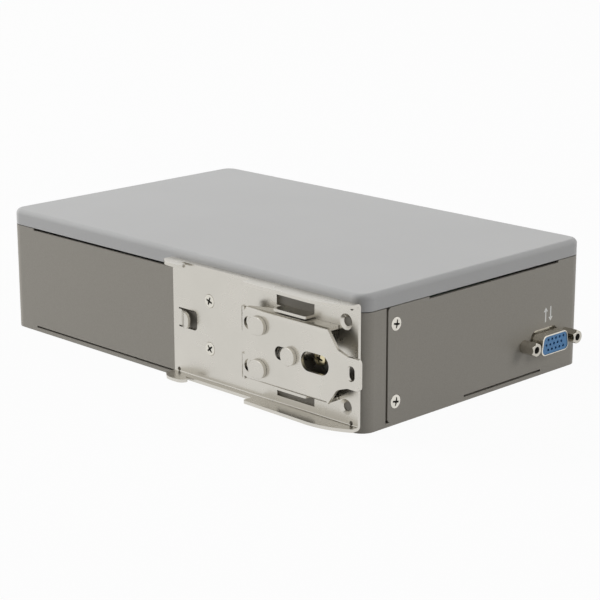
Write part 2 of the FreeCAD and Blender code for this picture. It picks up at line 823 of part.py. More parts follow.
def d_outline(grow, a, b, plane=side, down=-1, half_wide=dsub_half_wide):
    """Face of a D-sub outline."""
    return rounded_outline(d_corners(grow, a, b, down, half_wide), plane)


def make_dio_shell():
    """Plated D-sub shell: drawn D-shaped sleeve on a flange with two screw holes."""
    x_flange = inner_side - dsub_flange
    flange = rounded_outline([(y, z, 1.0) for y, z in (
        (dsub_y - dsub_flange_length / 2, dsub_height - dsub_flange_height / 2),
        (dsub_y + dsub_flange_length / 2, dsub_height - dsub_flange_height / 2),
        (dsub_y + dsub_flange_length / 2, dsub_height + dsub_flange_height / 2),
        (dsub_y - dsub_flange_length / 2, dsub_height + dsub_flange_height / 2))], side)
    flange = widen(flange, x_flange, inner_side)
    x_lip = half_length + dsub_out
    sleeve = widen(d_outline(0, dsub_y, dsub_height), x_flange, x_lip)
    lip = [edge for edge in sleeve.Edges if abs(edge.BoundBox.XMin - x_lip) < 1e-4]
    sleeve = sleeve.makeFillet(0.3, lip)
    shell = fuse([flange, sleeve])
    tools = [widen(d_outline(-dsub_shell_wall, dsub_y, dsub_height), x_flange - 1, x_lip + 1)]
    for y in jack_ys:
        start = V(x_flange - 1, y, dsub_height)
        tools.append(rod(dsub_flange_hole, start, V(inner_side + 1, y, dsub_height)))
    return cut(shell, tools)


def dio_hole_points():
    """Three staggered rows of five contact holes."""
    points = []
    for row, shift in ((1, 0.25), (0, -0.25), (-1, 0.25)):
        for k in range(-2, 3):
            points.append((dsub_y + (k + shift) * dsub_pitch, dsub_height + row * dsub_row))
    return points


def make_dio_insert():
    """Moulded insulator: D-shaped nose inside the sleeve, with a block behind that stands on the board."""
    nose_front = half_length + dsub_out - 0.3
    x_back = inner_side - dsub_flange - 10
    nose = widen(d_outline(-dsub_shell_wall - fit_gap, dsub_y, dsub_height), x_back + 2, nose_front)
    block = box(x_back, inner_side - dsub_flange - fit_gap, dsub_y - 9.5, dsub_y + 9.5,
                dio_underside + board_sheet, dsub_height + 5.6)
    holes = [rod(dsub_hole, V(nose_front - dsub_hole_depth, y, z), V(nose_front + 1, y, z))
             for y, z in dio_hole_points()]
    return cut(fuse([nose, block]), holes)


def make_jackscrew(tip, base, inner):
    """Hex jackscrew: hex body outside the panel, threaded shank through flange, tapped from outside."""
    axis = tip - base
    axis.normalize()
    body = hex_bar(jack_flats, base, tip)
    shank = rod(m3_root + 0.15, inner, base + axis * 0.3)
    bore = rod(m3_tapped, tip - axis * 5, tip + axis)
    return cut(fuse([body, shank]), [bore])


# ---------------------------------------------------------------- boards and processor
main_x0 = -inner_side + main_left_gap
main_x1 = inner_side - main_right_gap
main_centre_x = (main_x0 + main_x1) / 2
main_y1 = main_front
main_y0 = main_front - main_width
block_x = main_centre_x
block_y = main_y0 + main_width * 0.42
block_screw_half = block_side / 2 - block_screw_inset
block_screw_points = [(block_x + dx, block_y + dy)
                      for dx, dy in quadrants(block_screw_half, block_screw_half)]
main_posts = [(x, y) for x in (main_x0 + main_post_inset, main_x1 - main_post_inset)
              for y in (main_y0 + main_post_inset, main_y1 - main_post_setback)]
dio_x1 = inner_side - dsub_flange - 0.5
dio_x0 = dio_x1 - dio_length
dio_posts = [(dio_x0 + dio_post_inset, dsub_y - dio_width / 2 + dio_post_inset),
             (dio_x0 + dio_post_inset, dsub_y + dio_width / 2 - dio_post_inset)]
dio_header_x = dio_x0 + 9.0
main_header_x = main_x1 - 12.0
header_y = dsub_y - header_shift
header_z = dio_underside + board_sheet


def board(x0, x1, y0, y1, underside, holes):
    """Printed circuit board with screw holes."""
    plate = rounded_outline([(x0, y0, 1.5), (x1, y0, 1.5), (x1, y1, 1.5), (x0, y1, 1.5)], plan)
    plate = lift(plate, underside, underside + board_sheet)
    top = underside + board_sheet
    return cut(plate, [rod(m3_clear, V(x, y, underside - 1), V(x, y, top + 1)) for x, y in holes])


def board_post(x, y, z0, z1):
    """Hex spacer, tapped from the top."""
    return cut(hex_bar(board_post_flats, V(x, y, z0), V(x, y, z1)),
               [rod(m3_tapped, V(x, y, z1 - 7 if z1 - z0 > 8 else z0 + 0.8), V(x, y, z1 + 1))])


def board_screw(x, y, seat):
    """Pan screw driven down into a spacer."""
    return pan_screw(V(x, y, seat - board_screw_length), V(x, y, seat))


def make_heat_block():
    """Aluminium block that carries heat from the processor to the lid, with four screw pillars."""
    z0 = main_top + processor_height + pad_thickness
    z1 = lid_under - lid_pad_raise - pad_thickness
    h = block_side / 2
    top_plate = box(block_x - h, block_x + h, block_y - h, block_y + h, z1 - 5, z1)
    core = box(block_x - processor_side / 2 - 2, block_x + processor_side / 2 + 2,
               block_y - processor_side / 2 - 2, block_y + processor_side / 2 + 2, z0, z1 - 4.5)
    rims = [edge for edge in core.Edges if edge.BoundBox.ZLength > 3]
    core = core.makeChamfer(3.0, rims)
    holes = []
    for x, y in block_screw_points:
        holes.append(rod(m3_clear, V(x, y, z1 - 6), V(x, y, z1 + 1)))
        holes.append(rod(board_screw_head + 0.3, V(x, y, z1 - 6), V(x, y, z1 - 3)))
    return cut(fuse([top_plate, core]), holes)


def make_coil(x, y):
    """Square power inductor."""
    coil = box(x - 3.5, x + 3.5, y - 3.5, y + 3.5, main_top, main_top + 4)
    return coil.makeChamfer(0.8, [edge for edge in coil.Edges if edge.BoundBox.ZLength > 3])


def make_memory_socket():
    """Low edge socket under the main board with two side arms."""
    z1 = main_underside
    x0, x1 = memory_x - 36.5, memory_x + 36.5
    bar = box(x0, x1, memory_y, memory_y + 6, z1 - 5.2, z1)
    arms = [box(x, x + 3, memory_y - 26, memory_y, z1 - 5.2, z1) for x in (x0, x1 - 3)]
    slot = box(memory_x - 33.9, memory_x + 33.9, memory_y - 1, memory_y + 3, z1 - 4.2, z1 - 3.0)
    return cut(fuse([bar] + arms), [slot])


def make_memory_module():
    """Memory module: board with eight chips, pushed into its socket."""
    z1 = main_underside
    card = box(memory_x - 33.3, memory_x + 33.3, memory_y - 27, memory_y + 2.9, z1 - 4.15, z1 - 3.05)
    chips = [box(memory_x + c - 5, memory_x + c + 5, memory_y - 20, memory_y - 9, z1 - 5.1, z1 - 4.1)
             for c in (-25, -12.5, 12.5, 25)]
    return fuse([card] + chips)


memory_x = main_centre_x + 12
memory_y = main_y0 + 40
drive_x = main_x0 + 20
drive_y = main_y1 - 18
drive_post_y = drive_y - drive_post_reach


def make_drive_socket():
    """Small edge socket for the storage card."""
    z1 = main_underside
    body = box(drive_x - 11, drive_x + 11, drive_y, drive_y + 7, z1 - 4.0, z1)
    slot = box(drive_x - 10.05, drive_x + 10.05, drive_y - 1, drive_y + 4, z1 - 3.15, z1 - 2.25)
    return cut(body, [slot])


def make_drive_module():
    """Storage card: narrow board with chips, its far end on a spacer."""
    z1 = main_underside
    card = box(drive_x - 10, drive_x + 10, drive_post_y - 2.5, drive_y + 3.9, z1 - 3.1, z1 - 2.3)
    chips = [box(drive_x - 7, drive_x + 7, drive_y - c - 12, drive_y - c, z1 - 4.4, z1 - 3.0)
             for c in (8, 26, 44)]
    module = fuse([card] + chips)
    return cut(module, [rod(m3_clear, V(drive_x, drive_post_y, z1 - 4), V(drive_x, drive_post_y, z1))])


def make_cable():
    """Flat ribbon cable between the two headers: up, across and up again."""
    z0 = header_z + header_height
    z1 = main_underside - header_height
    middle = (z0 + z1) / 2
    path = [(dio_header_x, z0), (dio_header_x, middle), (main_header_x, middle), (main_header_x, z1)]
    face = bent_strip(path, cable_thickness, cable_bend, elevation)
    return thicken(face, header_y - cable_width / 2, header_y + cable_width / 2)


def make_header(x, z):
    """Boxed pin header of the ribbon cable, with its underside or top at z."""
    half = header_side / 2
    y0 = header_y - header_length / 2
    return box(x - half, x + half, y0, y0 + header_length, z, z + header_height)


def make_drive_post():
    """Round spacer under the main board for the free end of the storage card."""
    z1 = main_underside
    post = rod(2.8, V(drive_x, drive_post_y, z1 - 2.3), V(drive_x, drive_post_y, z1))
    return cut(post, [rod(m3_tapped, V(drive_x, drive_post_y, z1 - 3), V(drive_x, drive_post_y, z1 - 0.3))])


# ---------------------------------------------------------------- front ports
port_widths = [dc_width, com_width, lan_width, lan_width, usb_width, usb_width, video_width]
port_xs = [main_x0 + port_row_start + sum(port_widths[:k]) + k * port_spacing + width / 2
           for k, width in enumerate(port_widths)]
dc_x, com_x, video_x = port_xs[0], port_xs[1], port_xs[6]
lan_xs = port_xs[2:4]
usb_xs = port_xs[4:6]
com_z = main_underside - dsub_flange_height / 2 - 0.35
front_proud = front + port_proud


def front_port_tools():
    """Cut-outs in the front wall, each a little larger than the port behind it."""
    y0, y1 = inner_front - 1, front + 1
    tools = []

    def window(x, width, height):
        tools.append(box(x - width / 2 - port_gap, x + width / 2 + port_gap, y0, y1,
                         main_underside - height - port_gap, main_underside + port_gap))

    for x in lan_xs:
        window(x, lan_width, lan_height)
    for x in usb_xs:
        window(x, usb_width, usb_height)
    window(video_x, video_width, video_height)
    window(dc_x, dc_width, dc_height)
    tools.append(thicken(d_outline(dsub_cut_gap, com_x, com_z, elevation), y0, y1))
    for sign in (-1, 1):
        x = com_x + sign * dsub_screw_spacing / 2
        tools.append(rod(m3_clear, V(x, y0, com_z), V(x, y1, com_z)))
    tools.append(rod(power_bezel_radius - 1.2, V(power_x, y0, power_z), V(power_x, y1, power_z)))
    for sign in (-1, 1):
        tools.append(rod(led_radius + fit_gap, V(power_x + sign * led_spread, y0, led_z),
                         V(power_x + sign * led_spread, y1, led_z)))
    return tools


def port_can(x, width, height, depth):
    """Folded metal can of a port that hangs under the main board, open at its mouth."""
    z1 = main_underside
    y0 = front_proud - depth
    can = box(x - width / 2, x + width / 2, y0, front_proud, z1 - height, z1)
    inside = box(x - width / 2 + port_wall, x + width / 2 - port_wall, y0 + port_wall, front_proud + 1,
                 z1 - height + port_wall, z1 - port_wall)
    return cut(can, [inside])


def make_lan_insert(x):
    """Moulded jack body: a stepped socket for the plug, open at the front and on the latch side."""
    z1 = main_underside - port_wall
    z0 = main_underside - lan_height + port_wall
    y0 = front_proud - lan_depth + port_wall
    w = lan_width / 2 - port_wall
    block = box(x - w, x + w, y0, front_proud - 0.5, z0, z1)
    mouth_z = z1 - 2.0
    mouth = box(x - 5.9, x + 5.9, front_proud - 13, front_proud + 1, mouth_z - 6.8, mouth_z)
    key = box(x - 3.1, x + 3.1, front_proud - 13, front_proud + 1, mouth_z - 8.4, mouth_z - 6.7)
    key_tip = box(x - 1.8, x + 1.8, front_proud - 13, front_proud + 1, mouth_z - 9.8, mouth_z - 8.3)
    return cut(block, [mouth, key, key_tip])


def make_usb_tongues(x):
    """Two moulded tongues of a stacked USB port on their common back block."""
    z0 = main_underside - usb_height
    y0 = front_proud - usb_depth + port_wall
    w = usb_width / 2 - port_wall
    back = box(x - w, x + w, y0, y0 + 5, z0 + port_wall, main_underside - port_wall)
    middle = box(x - w, x + w, y0, front_proud - 0.6, z0 + usb_height / 2 - 1.3, z0 + usb_height / 2 + 1.3)
    tongues = [box(x - 5.5, x + 5.5, y0 + 4, front_proud - 1.6, z - 0.95, z + 0.95)
               for z in (z0 + 4.0, z0 + usb_height - 4.0)]
    return fuse([back, middle] + tongues)


def video_outline(x, inset, y0, y1):
    """Solid inside the video port's outline, whose lower corners are bevelled, drawn in by inset."""
    z1 = main_underside - inset
    z0 = main_underside - video_height + inset
    w = video_width / 2 - inset
    bevel = 2.2 - inset * 0.6
    corners = [(x - w, z1, 0.4), (x - w, z0 + bevel, 0.8), (x - w + bevel, z0, 0.8),
               (x + w - bevel, z0, 0.8), (x + w, z0 + bevel, 0.8), (x + w, z1, 0.4)]
    return thicken(rounded_outline(corners, elevation), y0, y1)


def make_video_tongue(x):
    """Thin contact tongue of the video port on its back block."""
    z0 = main_underside - video_height
    y0 = front_proud - video_depth + port_wall
    back = box(x - video_width / 2 + port_wall, x + video_width / 2 - port_wall, y0, y0 + 3,
               z0 + port_wall, main_underside - port_wall)
    tongue = box(x - 5.0, x + 5.0, y0 + 2, front_proud - 1.5, main_underside - 3.6, main_underside - 2.2)
    return fuse([back, tongue]).common(video_outline(x, port_wall, y0, front_proud))


def make_video_shell(x):
    """Video port can, open at its mouth."""
    y0 = front_proud - video_depth
    inside = video_outline(x, port_wall, y0 + port_wall, front_proud + 1)
    return cut(video_outline(x, 0, y0, front_proud), [inside])


def make_dc_header():
    """Three-way power header: moulded box, open at the front, keyed along its floor."""
    z1 = main_underside
    y0 = front_proud - dc_depth
    block = box(dc_x - dc_width / 2, dc_x + dc_width / 2, y0, front_proud, z1 - dc_height, z1)
    cavity = box(dc_x - 7.9, dc_x + 7.9, y0 + 3, front_proud + 1, z1 - dc_height + 1.2, z1 - 1.2)
    keys = [box(dc_x + k * 5.08 - 1.2, dc_x + k * 5.08 + 1.2, y0 + 3, front_proud + 1, z1 - dc_height + 0.5,
                z1 - dc_height + 1.3) for k in (-1, 0, 1)]
    pins = [box(dc_x + k * 5.08 - 0.55, dc_x + k * 5.08 + 0.55, y0 - 1, y0 + 4, z1 - dc_height / 2 - 0.55,
                z1 - dc_height / 2 + 0.55) for k in (-1, 0, 1)]
    return cut(block, [cavity] + keys + pins)


def make_dc_pin(k):
    """Square contact pin of the power header."""
    z = main_underside - dc_height / 2
    y0 = front_proud - dc_depth
    x = dc_x + k * 5.08
    return box(x - 0.5, x + 0.5, y0, front_proud - 2.5, z - 0.5, z + 0.5)


def make_com_shell():
    """Plated shell of the serial port: D sleeve and flange behind the front wall."""
    y_flange = inner_front - dsub_flange
    flange = rounded_outline([(x, z, 1.0) for x, z in (
        (com_x - dsub_flange_length / 2, com_z - dsub_flange_height / 2),
        (com_x + dsub_flange_length / 2, com_z - dsub_flange_height / 2),
        (com_x + dsub_flange_length / 2, com_z + dsub_flange_height / 2),
        (com_x - dsub_flange_length / 2, com_z + dsub_flange_height / 2))], elevation)
    flange = thicken(flange, y_flange, inner_front)
    sleeve = thicken(d_outline(0, com_x, com_z, elevation), y_flange, front + dsub_out)
    shell = fuse([flange, sleeve])
    inside = d_outline(-dsub_shell_wall, com_x, com_z, elevation)
    tools = [thicken(inside, y_flange - 1, front + dsub_out + 1)]
    for sign in (-1, 1):
        x = com_x + sign * dsub_screw_spacing / 2
        tools.append(rod(dsub_flange_hole, V(x, y_flange - 1, com_z), V(x, inner_front + 1, com_z)))
    return cut(shell, tools)


def make_com_insert():
    """Insulator of the serial port: a floor inside the sleeve that carries nine pins."""
    y_back = inner_front - dsub_flange - 8
    floor = thicken(d_outline(-dsub_shell_wall - fit_gap, com_x, com_z, elevation), y_back + 2, front + 0.4)
    block_end = inner_front - dsub_flange - fit_gap
    block = box(com_x - 9.5, com_x + 9.5, y_back, block_end, com_z - 5, main_underside)
    pins = []
    for row, count in ((1, 4), (-1, 5)):
        for k in range(count):
            x = com_x + (k - (count - 1) / 2) * 2.77
            z = com_z + row * 1.42
            pins.append(rod(0.5, V(x, front, z), V(x, front + dsub_out - 1, z)))
    return fuse([floor, block] + pins)


# ---------------------------------------------------------------- power button and status lights
status_y1 = inner_front - status_board_gap
status_y0 = status_y1 - board_sheet
power_stop = inner_front - 1.2
status_posts = [(power_x, power_z - 13.0), (power_x, led_z + 4.0)]


def make_power_bezel():
    """Turned ring in the front wall that the button cap slides in, held by a collar inside."""
    ring = rod(power_bezel_radius - 1.3, V(power_x, power_stop, power_z), V(power_x, front + 0.4, power_z))
    lip = rod(power_bezel_radius, V(power_x, front, power_z), V(power_x, front + 0.8, power_z))
    edge = [e for e in lip.Edges if abs(e.BoundBox.YMin - (front + 0.8)) < 1e-4]
    collar = rod(power_bezel_radius, V(power_x, power_stop, power_z), V(power_x, inner_front, power_z))
    ring = fuse([ring, lip.makeChamfer(0.35, edge), collar])
    bore_radius = power_cap_radius + 0.15
    bore = rod(bore_radius, V(power_x, inner_front - 3, power_z), V(power_x, front + 3, power_z))
    return cut(ring, [bore])


def make_power_cap():
    """Button cap with a dished face and a collar that stops it from falling out."""
    face_y = front + 1.6
    cap = rod(power_cap_radius, V(power_x, power_stop - power_collar, power_z), V(power_x, face_y, power_z))
    edge = [e for e in cap.Edges if abs(e.BoundBox.YMin - face_y) < 1e-4]
    cap = cap.makeChamfer(0.5, edge)
    back = V(power_x, power_stop - power_collar, power_z)
    collar = rod(power_cap_radius + 0.9, back, V(power_x, power_stop, power_z))
    return fuse([cap, collar])


def make_power_switch():
    """Push switch on the status board, under the cap."""
    body = box(power_x - 3, power_x + 3, status_y1, status_y1 + 1.9, power_z - 3, power_z + 3)
    knob_end = power_stop - power_collar - power_travel - 0.1
    knob = rod(1.7, V(power_x, status_y1 + 1.8, power_z), V(power_x, knob_end, power_z))
    return fuse([body, knob])


def make_status_board():
    """Small upright board behind the front wall for the switch and the two lights."""
    x0 = power_x - status_board_width / 2
    x1 = power_x + status_board_width / 2
    plate = rounded_outline([(x0, power_z - 16, 1), (x1, power_z - 16, 1),
                             (x1, led_z + 7, 1), (x0, led_z + 7, 1)], elevation)
    plate = thicken(plate, status_y0, status_y1)
    holes = [rod(m3_clear, V(x, status_y0 - 1, z), V(x, status_y1 + 1, z)) for x, z in status_posts]
    return cut(plate, holes)


def make_status_post(x, z):
    """Spacer between the front wall and the status board, tapped at the board end."""
    post = rod(2.4, V(x, status_y1, z), V(x, inner_front, z))
    return cut(post, [rod(m3_tapped, V(x, status_y1 - 1, z), V(x, inner_front - 1, z))])


def make_light(sign):
    """Light pipe from the status board out through the front wall."""
    x = power_x + sign * led_spread
    pipe = rod(led_radius, V(x, status_y1, led_z), V(x, front + 0.5, led_z))
    base = box(x - 1.9, x + 1.9, status_y1, status_y1 + 2, led_z - 1.9, led_z + 1.9)
    return fuse([pipe, base])


# ---------------------------------------------------------------- build every piece
add("lid", make_lid())
add("base_plate", make_base_plate())
add("rear_shell", make_rear_shell())
add("front_shell", make_front_shell())
add("joint_strips", group(make_joint_strip(sign) for sign in (-1, 1)))
add("corner_posts", group(make_post(x, y) for x, y in post_points))
add("base_screws", group(countersunk_screw(V(x, y, post_screw_tip), V(x, y, 0)) for x, y in post_points))
add("panel_screws", group(
    countersunk_screw(V(sign * (inner_side - strip_thickness - 1.5), panel_screw_y, z),
                      V(sign * half_length, panel_screw_y, z))
    for sign in (-1, 1) for z in (panel_screw_low, panel_screw_high)))
add("bracket_nuts", group(make_bracket_nut(x, y) for x, y in bracket_points))

add("clip_plate", make_clip_plate())
add("clip_latch", make_latch())
extras = [stud_head_extra, stud_head_extra, 0]
add("latch_studs", group(make_stud(x, z, extra) for (x, z), extra in zip(stud_points, extras)))
add("latch_spring", make_spring())
nut_end = inner_rear + 2.8
web_face = out(clip_sheet)
add("clip_screws", group(countersunk_screw(V(x, nut_end, z), V(x, web_face, z))
                         for x, z in clip_screw_points))
add("tail_screw", pan_screw(V(tail_screw_x, nut_end, clip_mid), V(tail_screw_x, web_face, clip_mid)))
add("clip_nuts", group(make_clip_nut(x, z) for x, z in clip_screw_points + [tail_screw_point]))

add("dio_shell", make_dio_shell())
add("dio_insert", make_dio_insert())
jacks = [make_jackscrew(V(half_length + jack_out, y, dsub_height), V(half_length, y, dsub_height),
                        V(inner_side - 5, y, dsub_height)) for y in jack_ys]
jacks += [make_jackscrew(V(x, front + jack_out, com_z), V(x, front, com_z), V(x, inner_front - 5, com_z))
          for x in (com_x - dsub_screw_spacing / 2, com_x + dsub_screw_spacing / 2)]
add("jackscrews", group(jacks))
dio_y0 = dsub_y - dio_width / 2
add("dio_board", board(dio_x0, dio_x1, dio_y0, dio_y0 + dio_width, dio_underside, dio_posts))
add("dio_board_posts", group(board_post(x, y, base_thickness, dio_underside) for x, y in dio_posts))
add("cable_headers", group([make_header(dio_header_x, header_z),
                            make_header(main_header_x, main_underside - header_height)]))
add("dio_cable", make_cable())

add("main_board", board(main_x0, main_x1, main_y0, main_y1, main_underside, main_posts))
add("board_posts", group(board_post(x, y, base_thickness, main_underside) for x, y in main_posts))
screws = [board_screw(x, y, main_top) for x, y in main_posts]
screws += [board_screw(x, y, dio_underside + board_sheet) for x, y in dio_posts]
screws += [pan_screw(V(x, status_y0 + board_screw_length, z), V(x, status_y0, z)) for x, z in status_posts]
add("board_screws", group(screws))
p = processor_side / 2
pad_z = main_top + processor_height
block_top = lid_under - lid_pad_raise - pad_thickness
add("processor", box(block_x - p, block_x + p, block_y - p, block_y + p, main_top, pad_z))
add("processor_pad", box(block_x - p, block_x + p, block_y - p, block_y + p, pad_z, pad_z + pad_thickness))
add("heat_block", make_heat_block())
q = lid_pad_side / 2
add("lid_pad", box(block_x - q, block_x + q, block_y - q, block_y + q,
                   block_top, block_top + pad_thickness))
block_tip = case_height - 1.8
add("block_screws", group(pan_screw(V(x, y, block_tip), V(x, y, block_top - 3))
                          for x, y in block_screw_points))
add("power_coils", group(make_coil(block_x + dx, block_y + dy) for dx in (-36, 36) for dy in (-9, 0, 9)))
add("memory_socket", make_memory_socket())
add("memory_module", make_memory_module())
add("drive_socket", make_drive_socket())
add("drive_module", make_drive_module())
add("drive_post", make_drive_post())
add("drive_screw", pan_screw(V(drive_x, drive_post_y, main_underside - 0.6),
                             V(drive_x, drive_post_y, main_underside - 3.1)))
cell_x = main_x1 - 12
cell_y = main_y0 + 20
holder = cut(rod(11.2, V(cell_x, cell_y, main_underside - 5), V(cell_x, cell_y, main_underside)),
             [rod(10.1, V(cell_x, cell_y, main_underside - 6), V(cell_x, cell_y, main_underside - 1.6))])
add("cell_holder", holder)
add("coin_cell", rod(10.0, V(cell_x, cell_y, main_underside - 4.8),
                     V(cell_x, cell_y, main_underside - 1.6)))

for k, x in enumerate(lan_xs, 1):
    add(f"lan_shield_{k}", port_can(x, lan_width, lan_height, lan_depth))
    add(f"lan_insert_{k}", make_lan_insert(x))
for k, x in enumerate(usb_xs, 1):
    add(f"usb_shell_{k}", port_can(x, usb_width, usb_height, usb_depth))
    add(f"usb_tongues_{k}", make_usb_tongues(x))
add("video_shell", make_video_shell(video_x))
add("video_tongue", make_video_tongue(video_x))
add("dc_header", make_dc_header())
add("dc_pins", group(make_dc_pin(k) for k in (-1, 0, 1)))
add("com_shell", make_com_shell())
add("com_insert", make_com_insert())

add("power_bezel", make_power_bezel())
add("power_cap", make_power_cap())
add("power_switch", make_power_switch())
add("status_board", make_status_board())
add("status_board_posts", group(make_status_post(x, z) for x, z in status_posts))
add("status_lights", group(make_light(sign) for sign in (-1, 1)))

os.makedirs("parts", exist_ok=True)
for name, shape in parts.items():
    volume = sum(solid.Volume for solid in shape.Solids)
    print(f"{name:20s} solids {len(shape.Solids)}  volume {volume:10.1f}  valid {shape.isValid()}")
    shape.exportStep(f"parts/{name}.step")
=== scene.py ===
# %% [markdown]
# # A fanless industrial computer with a rail clip
# The object is a slim steel box. Its lid is a cast cover that also carries the heat away, and a
# sprung clip on its long rear face hooks over a mounting rail. The sizes are already settled in the
# CAD model, which loads here as a fixed frame in metres. Every finish and every fine detail is made
# in this script.

# %% Load the frame
import json
import math

import bpy
import numpy as np
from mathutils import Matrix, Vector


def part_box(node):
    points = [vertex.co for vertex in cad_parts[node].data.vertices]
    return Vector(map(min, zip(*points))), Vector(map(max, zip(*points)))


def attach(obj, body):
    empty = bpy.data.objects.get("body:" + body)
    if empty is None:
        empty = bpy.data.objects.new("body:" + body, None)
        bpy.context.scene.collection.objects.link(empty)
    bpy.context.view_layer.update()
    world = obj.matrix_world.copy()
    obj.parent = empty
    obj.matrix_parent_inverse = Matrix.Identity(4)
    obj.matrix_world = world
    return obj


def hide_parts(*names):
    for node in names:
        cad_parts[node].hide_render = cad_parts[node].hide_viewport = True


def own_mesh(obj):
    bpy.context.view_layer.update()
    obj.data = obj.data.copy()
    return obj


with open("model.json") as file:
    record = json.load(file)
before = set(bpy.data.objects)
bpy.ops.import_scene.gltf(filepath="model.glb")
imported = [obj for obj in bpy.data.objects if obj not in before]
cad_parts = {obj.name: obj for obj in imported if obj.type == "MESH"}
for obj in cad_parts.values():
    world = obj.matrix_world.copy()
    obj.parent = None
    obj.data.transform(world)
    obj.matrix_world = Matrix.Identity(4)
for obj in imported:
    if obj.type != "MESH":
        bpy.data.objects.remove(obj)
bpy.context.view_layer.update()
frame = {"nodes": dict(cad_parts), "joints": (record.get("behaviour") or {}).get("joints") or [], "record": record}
nodes = frame["nodes"]
MM = 0.001  # one millimetre in metres

# %% [markdown]
# ## Shader maths as Python
# A finish is a small network of nodes. Wiring each node by hand hides the idea behind it, so one
# small class wraps a node's output and lets it be added, scaled and compared like a number. Any
# other node comes from one method that sets its settings first and then its sockets. Colours go
# through a Mix node, because a Math node would turn them grey.

# %% A signal
class Signal:
    """One output socket of a finish. Arithmetic on it adds Math nodes."""

    def __init__(self, network, socket):
        self.network = network
        self.socket = socket

    def maths(self, operation, a, b, clamp=False):
        """The Math node's operation on two numbers or signals."""
        settings = {"operation": operation, "use_clamp": clamp}
        return self.network.node("ShaderNodeMath", settings, {0: a, 1: b})

    def __add__(self, other):
        return self.maths("ADD", self, other)

    def __radd__(self, other):
        return self.maths("ADD", other, self)

    def __sub__(self, other):
        return self.maths("SUBTRACT", self, other)

    def __rsub__(self, other):
        return self.maths("SUBTRACT", other, self)

    def __mul__(self, other):
        return self.maths("MULTIPLY", self, other)

    def __rmul__(self, other):
        return self.maths("MULTIPLY", other, self)

    def __gt__(self, other):
        return self.maths("GREATER_THAN", self, other)

    def beside(self, name):
        """Another output of the same node."""
        return Signal(self.network, self.socket.node.outputs[name])

    def clipped(self):
        """The signal held between 0 and 1."""
        return self.maths("ADD", self, 0.0, clamp=True)


print("a signal can be added, subtracted, multiplied and compared")

# %% [markdown]
# A network starts as an empty tree of nodes. The sky is one, and so is the floor's paint. A floor
# that lights the object and also looks plain white needs two shaders, one for each kind of ray, so
# a network can tell a ray that is seen from one that only lights.

# %% A network
class Network:
    """An empty tree of nodes, of a material or of the world."""

    def __init__(self, owner, end="ShaderNodeOutputMaterial"):
        owner.use_nodes = True
        self.tree = owner.node_tree
        self.tree.nodes.clear()
        self.end = end

    def node(self, kind, settings=None, sockets=None, out=0):
        """Add a node: its settings first, then the values or links of its sockets."""
        made = self.tree.nodes.new(kind)
        for key, value in (settings or {}).items():
            setattr(made, key, value)
        for key, value in (sockets or {}).items():
            if isinstance(value, Signal):
                self.tree.links.new(value.socket, made.inputs[key])
            else:
                made.inputs[key].default_value = value
        return Signal(self, made.outputs[out])

    def seen(self):
        """1 for a ray from the camera, from gloss or through glass, and 0 for one that lights."""
        camera_ray = self.node("ShaderNodeLightPath", out="Is Camera Ray")
        glossy_ray, glass_ray = (camera_ray.beside(f"Is {kind} Ray")
                                 for kind in ("Glossy", "Transmission"))
        return (camera_ray + glossy_ray + glass_ray).clipped()

    def mixed(self, factor, first, second):
        """Two shaders mixed by a factor, linked to the tree's end."""
        self.close(self.node("ShaderNodeMixShader", None, {0: factor, 1: first, 2: second}))

    def close(self, shader):
        """Link a shader to the tree's end."""
        self.tree.links.new(shader.socket, self.tree.nodes.new(self.end).inputs["Surface"])


print("a network can add nodes, mix two shaders and close the tree")

# %% [markdown]
# A finish is the network of one material. The patterns that all finishes here share are soft noise,
# a colour that drifts in brightness and a fine relief. They could be painted images, but noise in
# the piece's own coordinates needs no unwrapping, has no seams and stays sharp from close up.

# %% A finish
# A Mix node has a set of sockets for each data type. These are the factor and the colour ones.
MIX_FACTOR, MIX_FIRST, MIX_SECOND, MIX_RESULT = 0, 6, 7, 2


class Finish(Network):
    """A material with one Principled surface, read in the piece's own coordinates."""

    def __init__(self, name):
        self.material = bpy.data.materials.new(name)
        super().__init__(self.material)
        self.place = self.node("ShaderNodeTexCoord", out="Object")

    def stretched(self, scale, shift=(0, 0, 0)):
        """The piece's coordinates, scaled along each axis and then moved."""
        sockets = {"Vector": self.place, "Location": shift, "Scale": scale}
        return self.node("ShaderNodeMapping", None, sockets)

    def noise(self, scale, detail=2.0, roughness=0.5, vector=None):
        """Soft noise between about 0.3 and 0.7, with features 1 / scale metres wide."""
        sockets = {"Vector": vector or self.place, "Scale": scale,
                   "Detail": detail, "Roughness": roughness}
        return self.node("ShaderNodeTexNoise", None, sockets, out="Fac")

    def of_one(self, operation, signal):
        """A Math node that takes one signal, such as a sine."""
        return self.node("ShaderNodeMath", {"operation": operation}, {0: signal})

    def blend(self, factor, first, second):
        """Colour that goes from the first to the second with the factor, held between 0 and 1."""
        return self.node("ShaderNodeMix", {"data_type": "RGBA", "clamp_factor": True},
                         {MIX_FACTOR: factor, MIX_FIRST: rgba(first), MIX_SECOND: rgba(second)},
                         out=MIX_RESULT)

    def drifting(self, factor, colour, low, high):
        """One hue that goes from low to high times its brightness with the factor."""
        return self.blend(factor, scaled(colour, low), scaled(colour, high))

    def bump(self, height, depth):
        """Surface normal of a relief whose height of 1 stands depth metres out."""
        sockets = {"Strength": 1.0, "Distance": depth, "Height": height}
        return self.node("ShaderNodeBump", None, sockets)

    def surface(self, **sockets):
        """Close the finish with a Principled surface, whose socket names use _ for a space."""
        named = {key.replace("_", " "): value for key, value in sockets.items()}
        self.close(self.node("ShaderNodeBsdfPrincipled", None, named))
        return self.material


def rgba(colour):
    """A colour as four numbers, or a signal as it is."""
    return colour if isinstance(colour, Signal) else (*colour[:3], 1.0)


def scaled(colour, factor):
    """The same hue, lighter or darker."""
    return tuple(channel * factor for channel in colour)


print("finishes are ready to write")

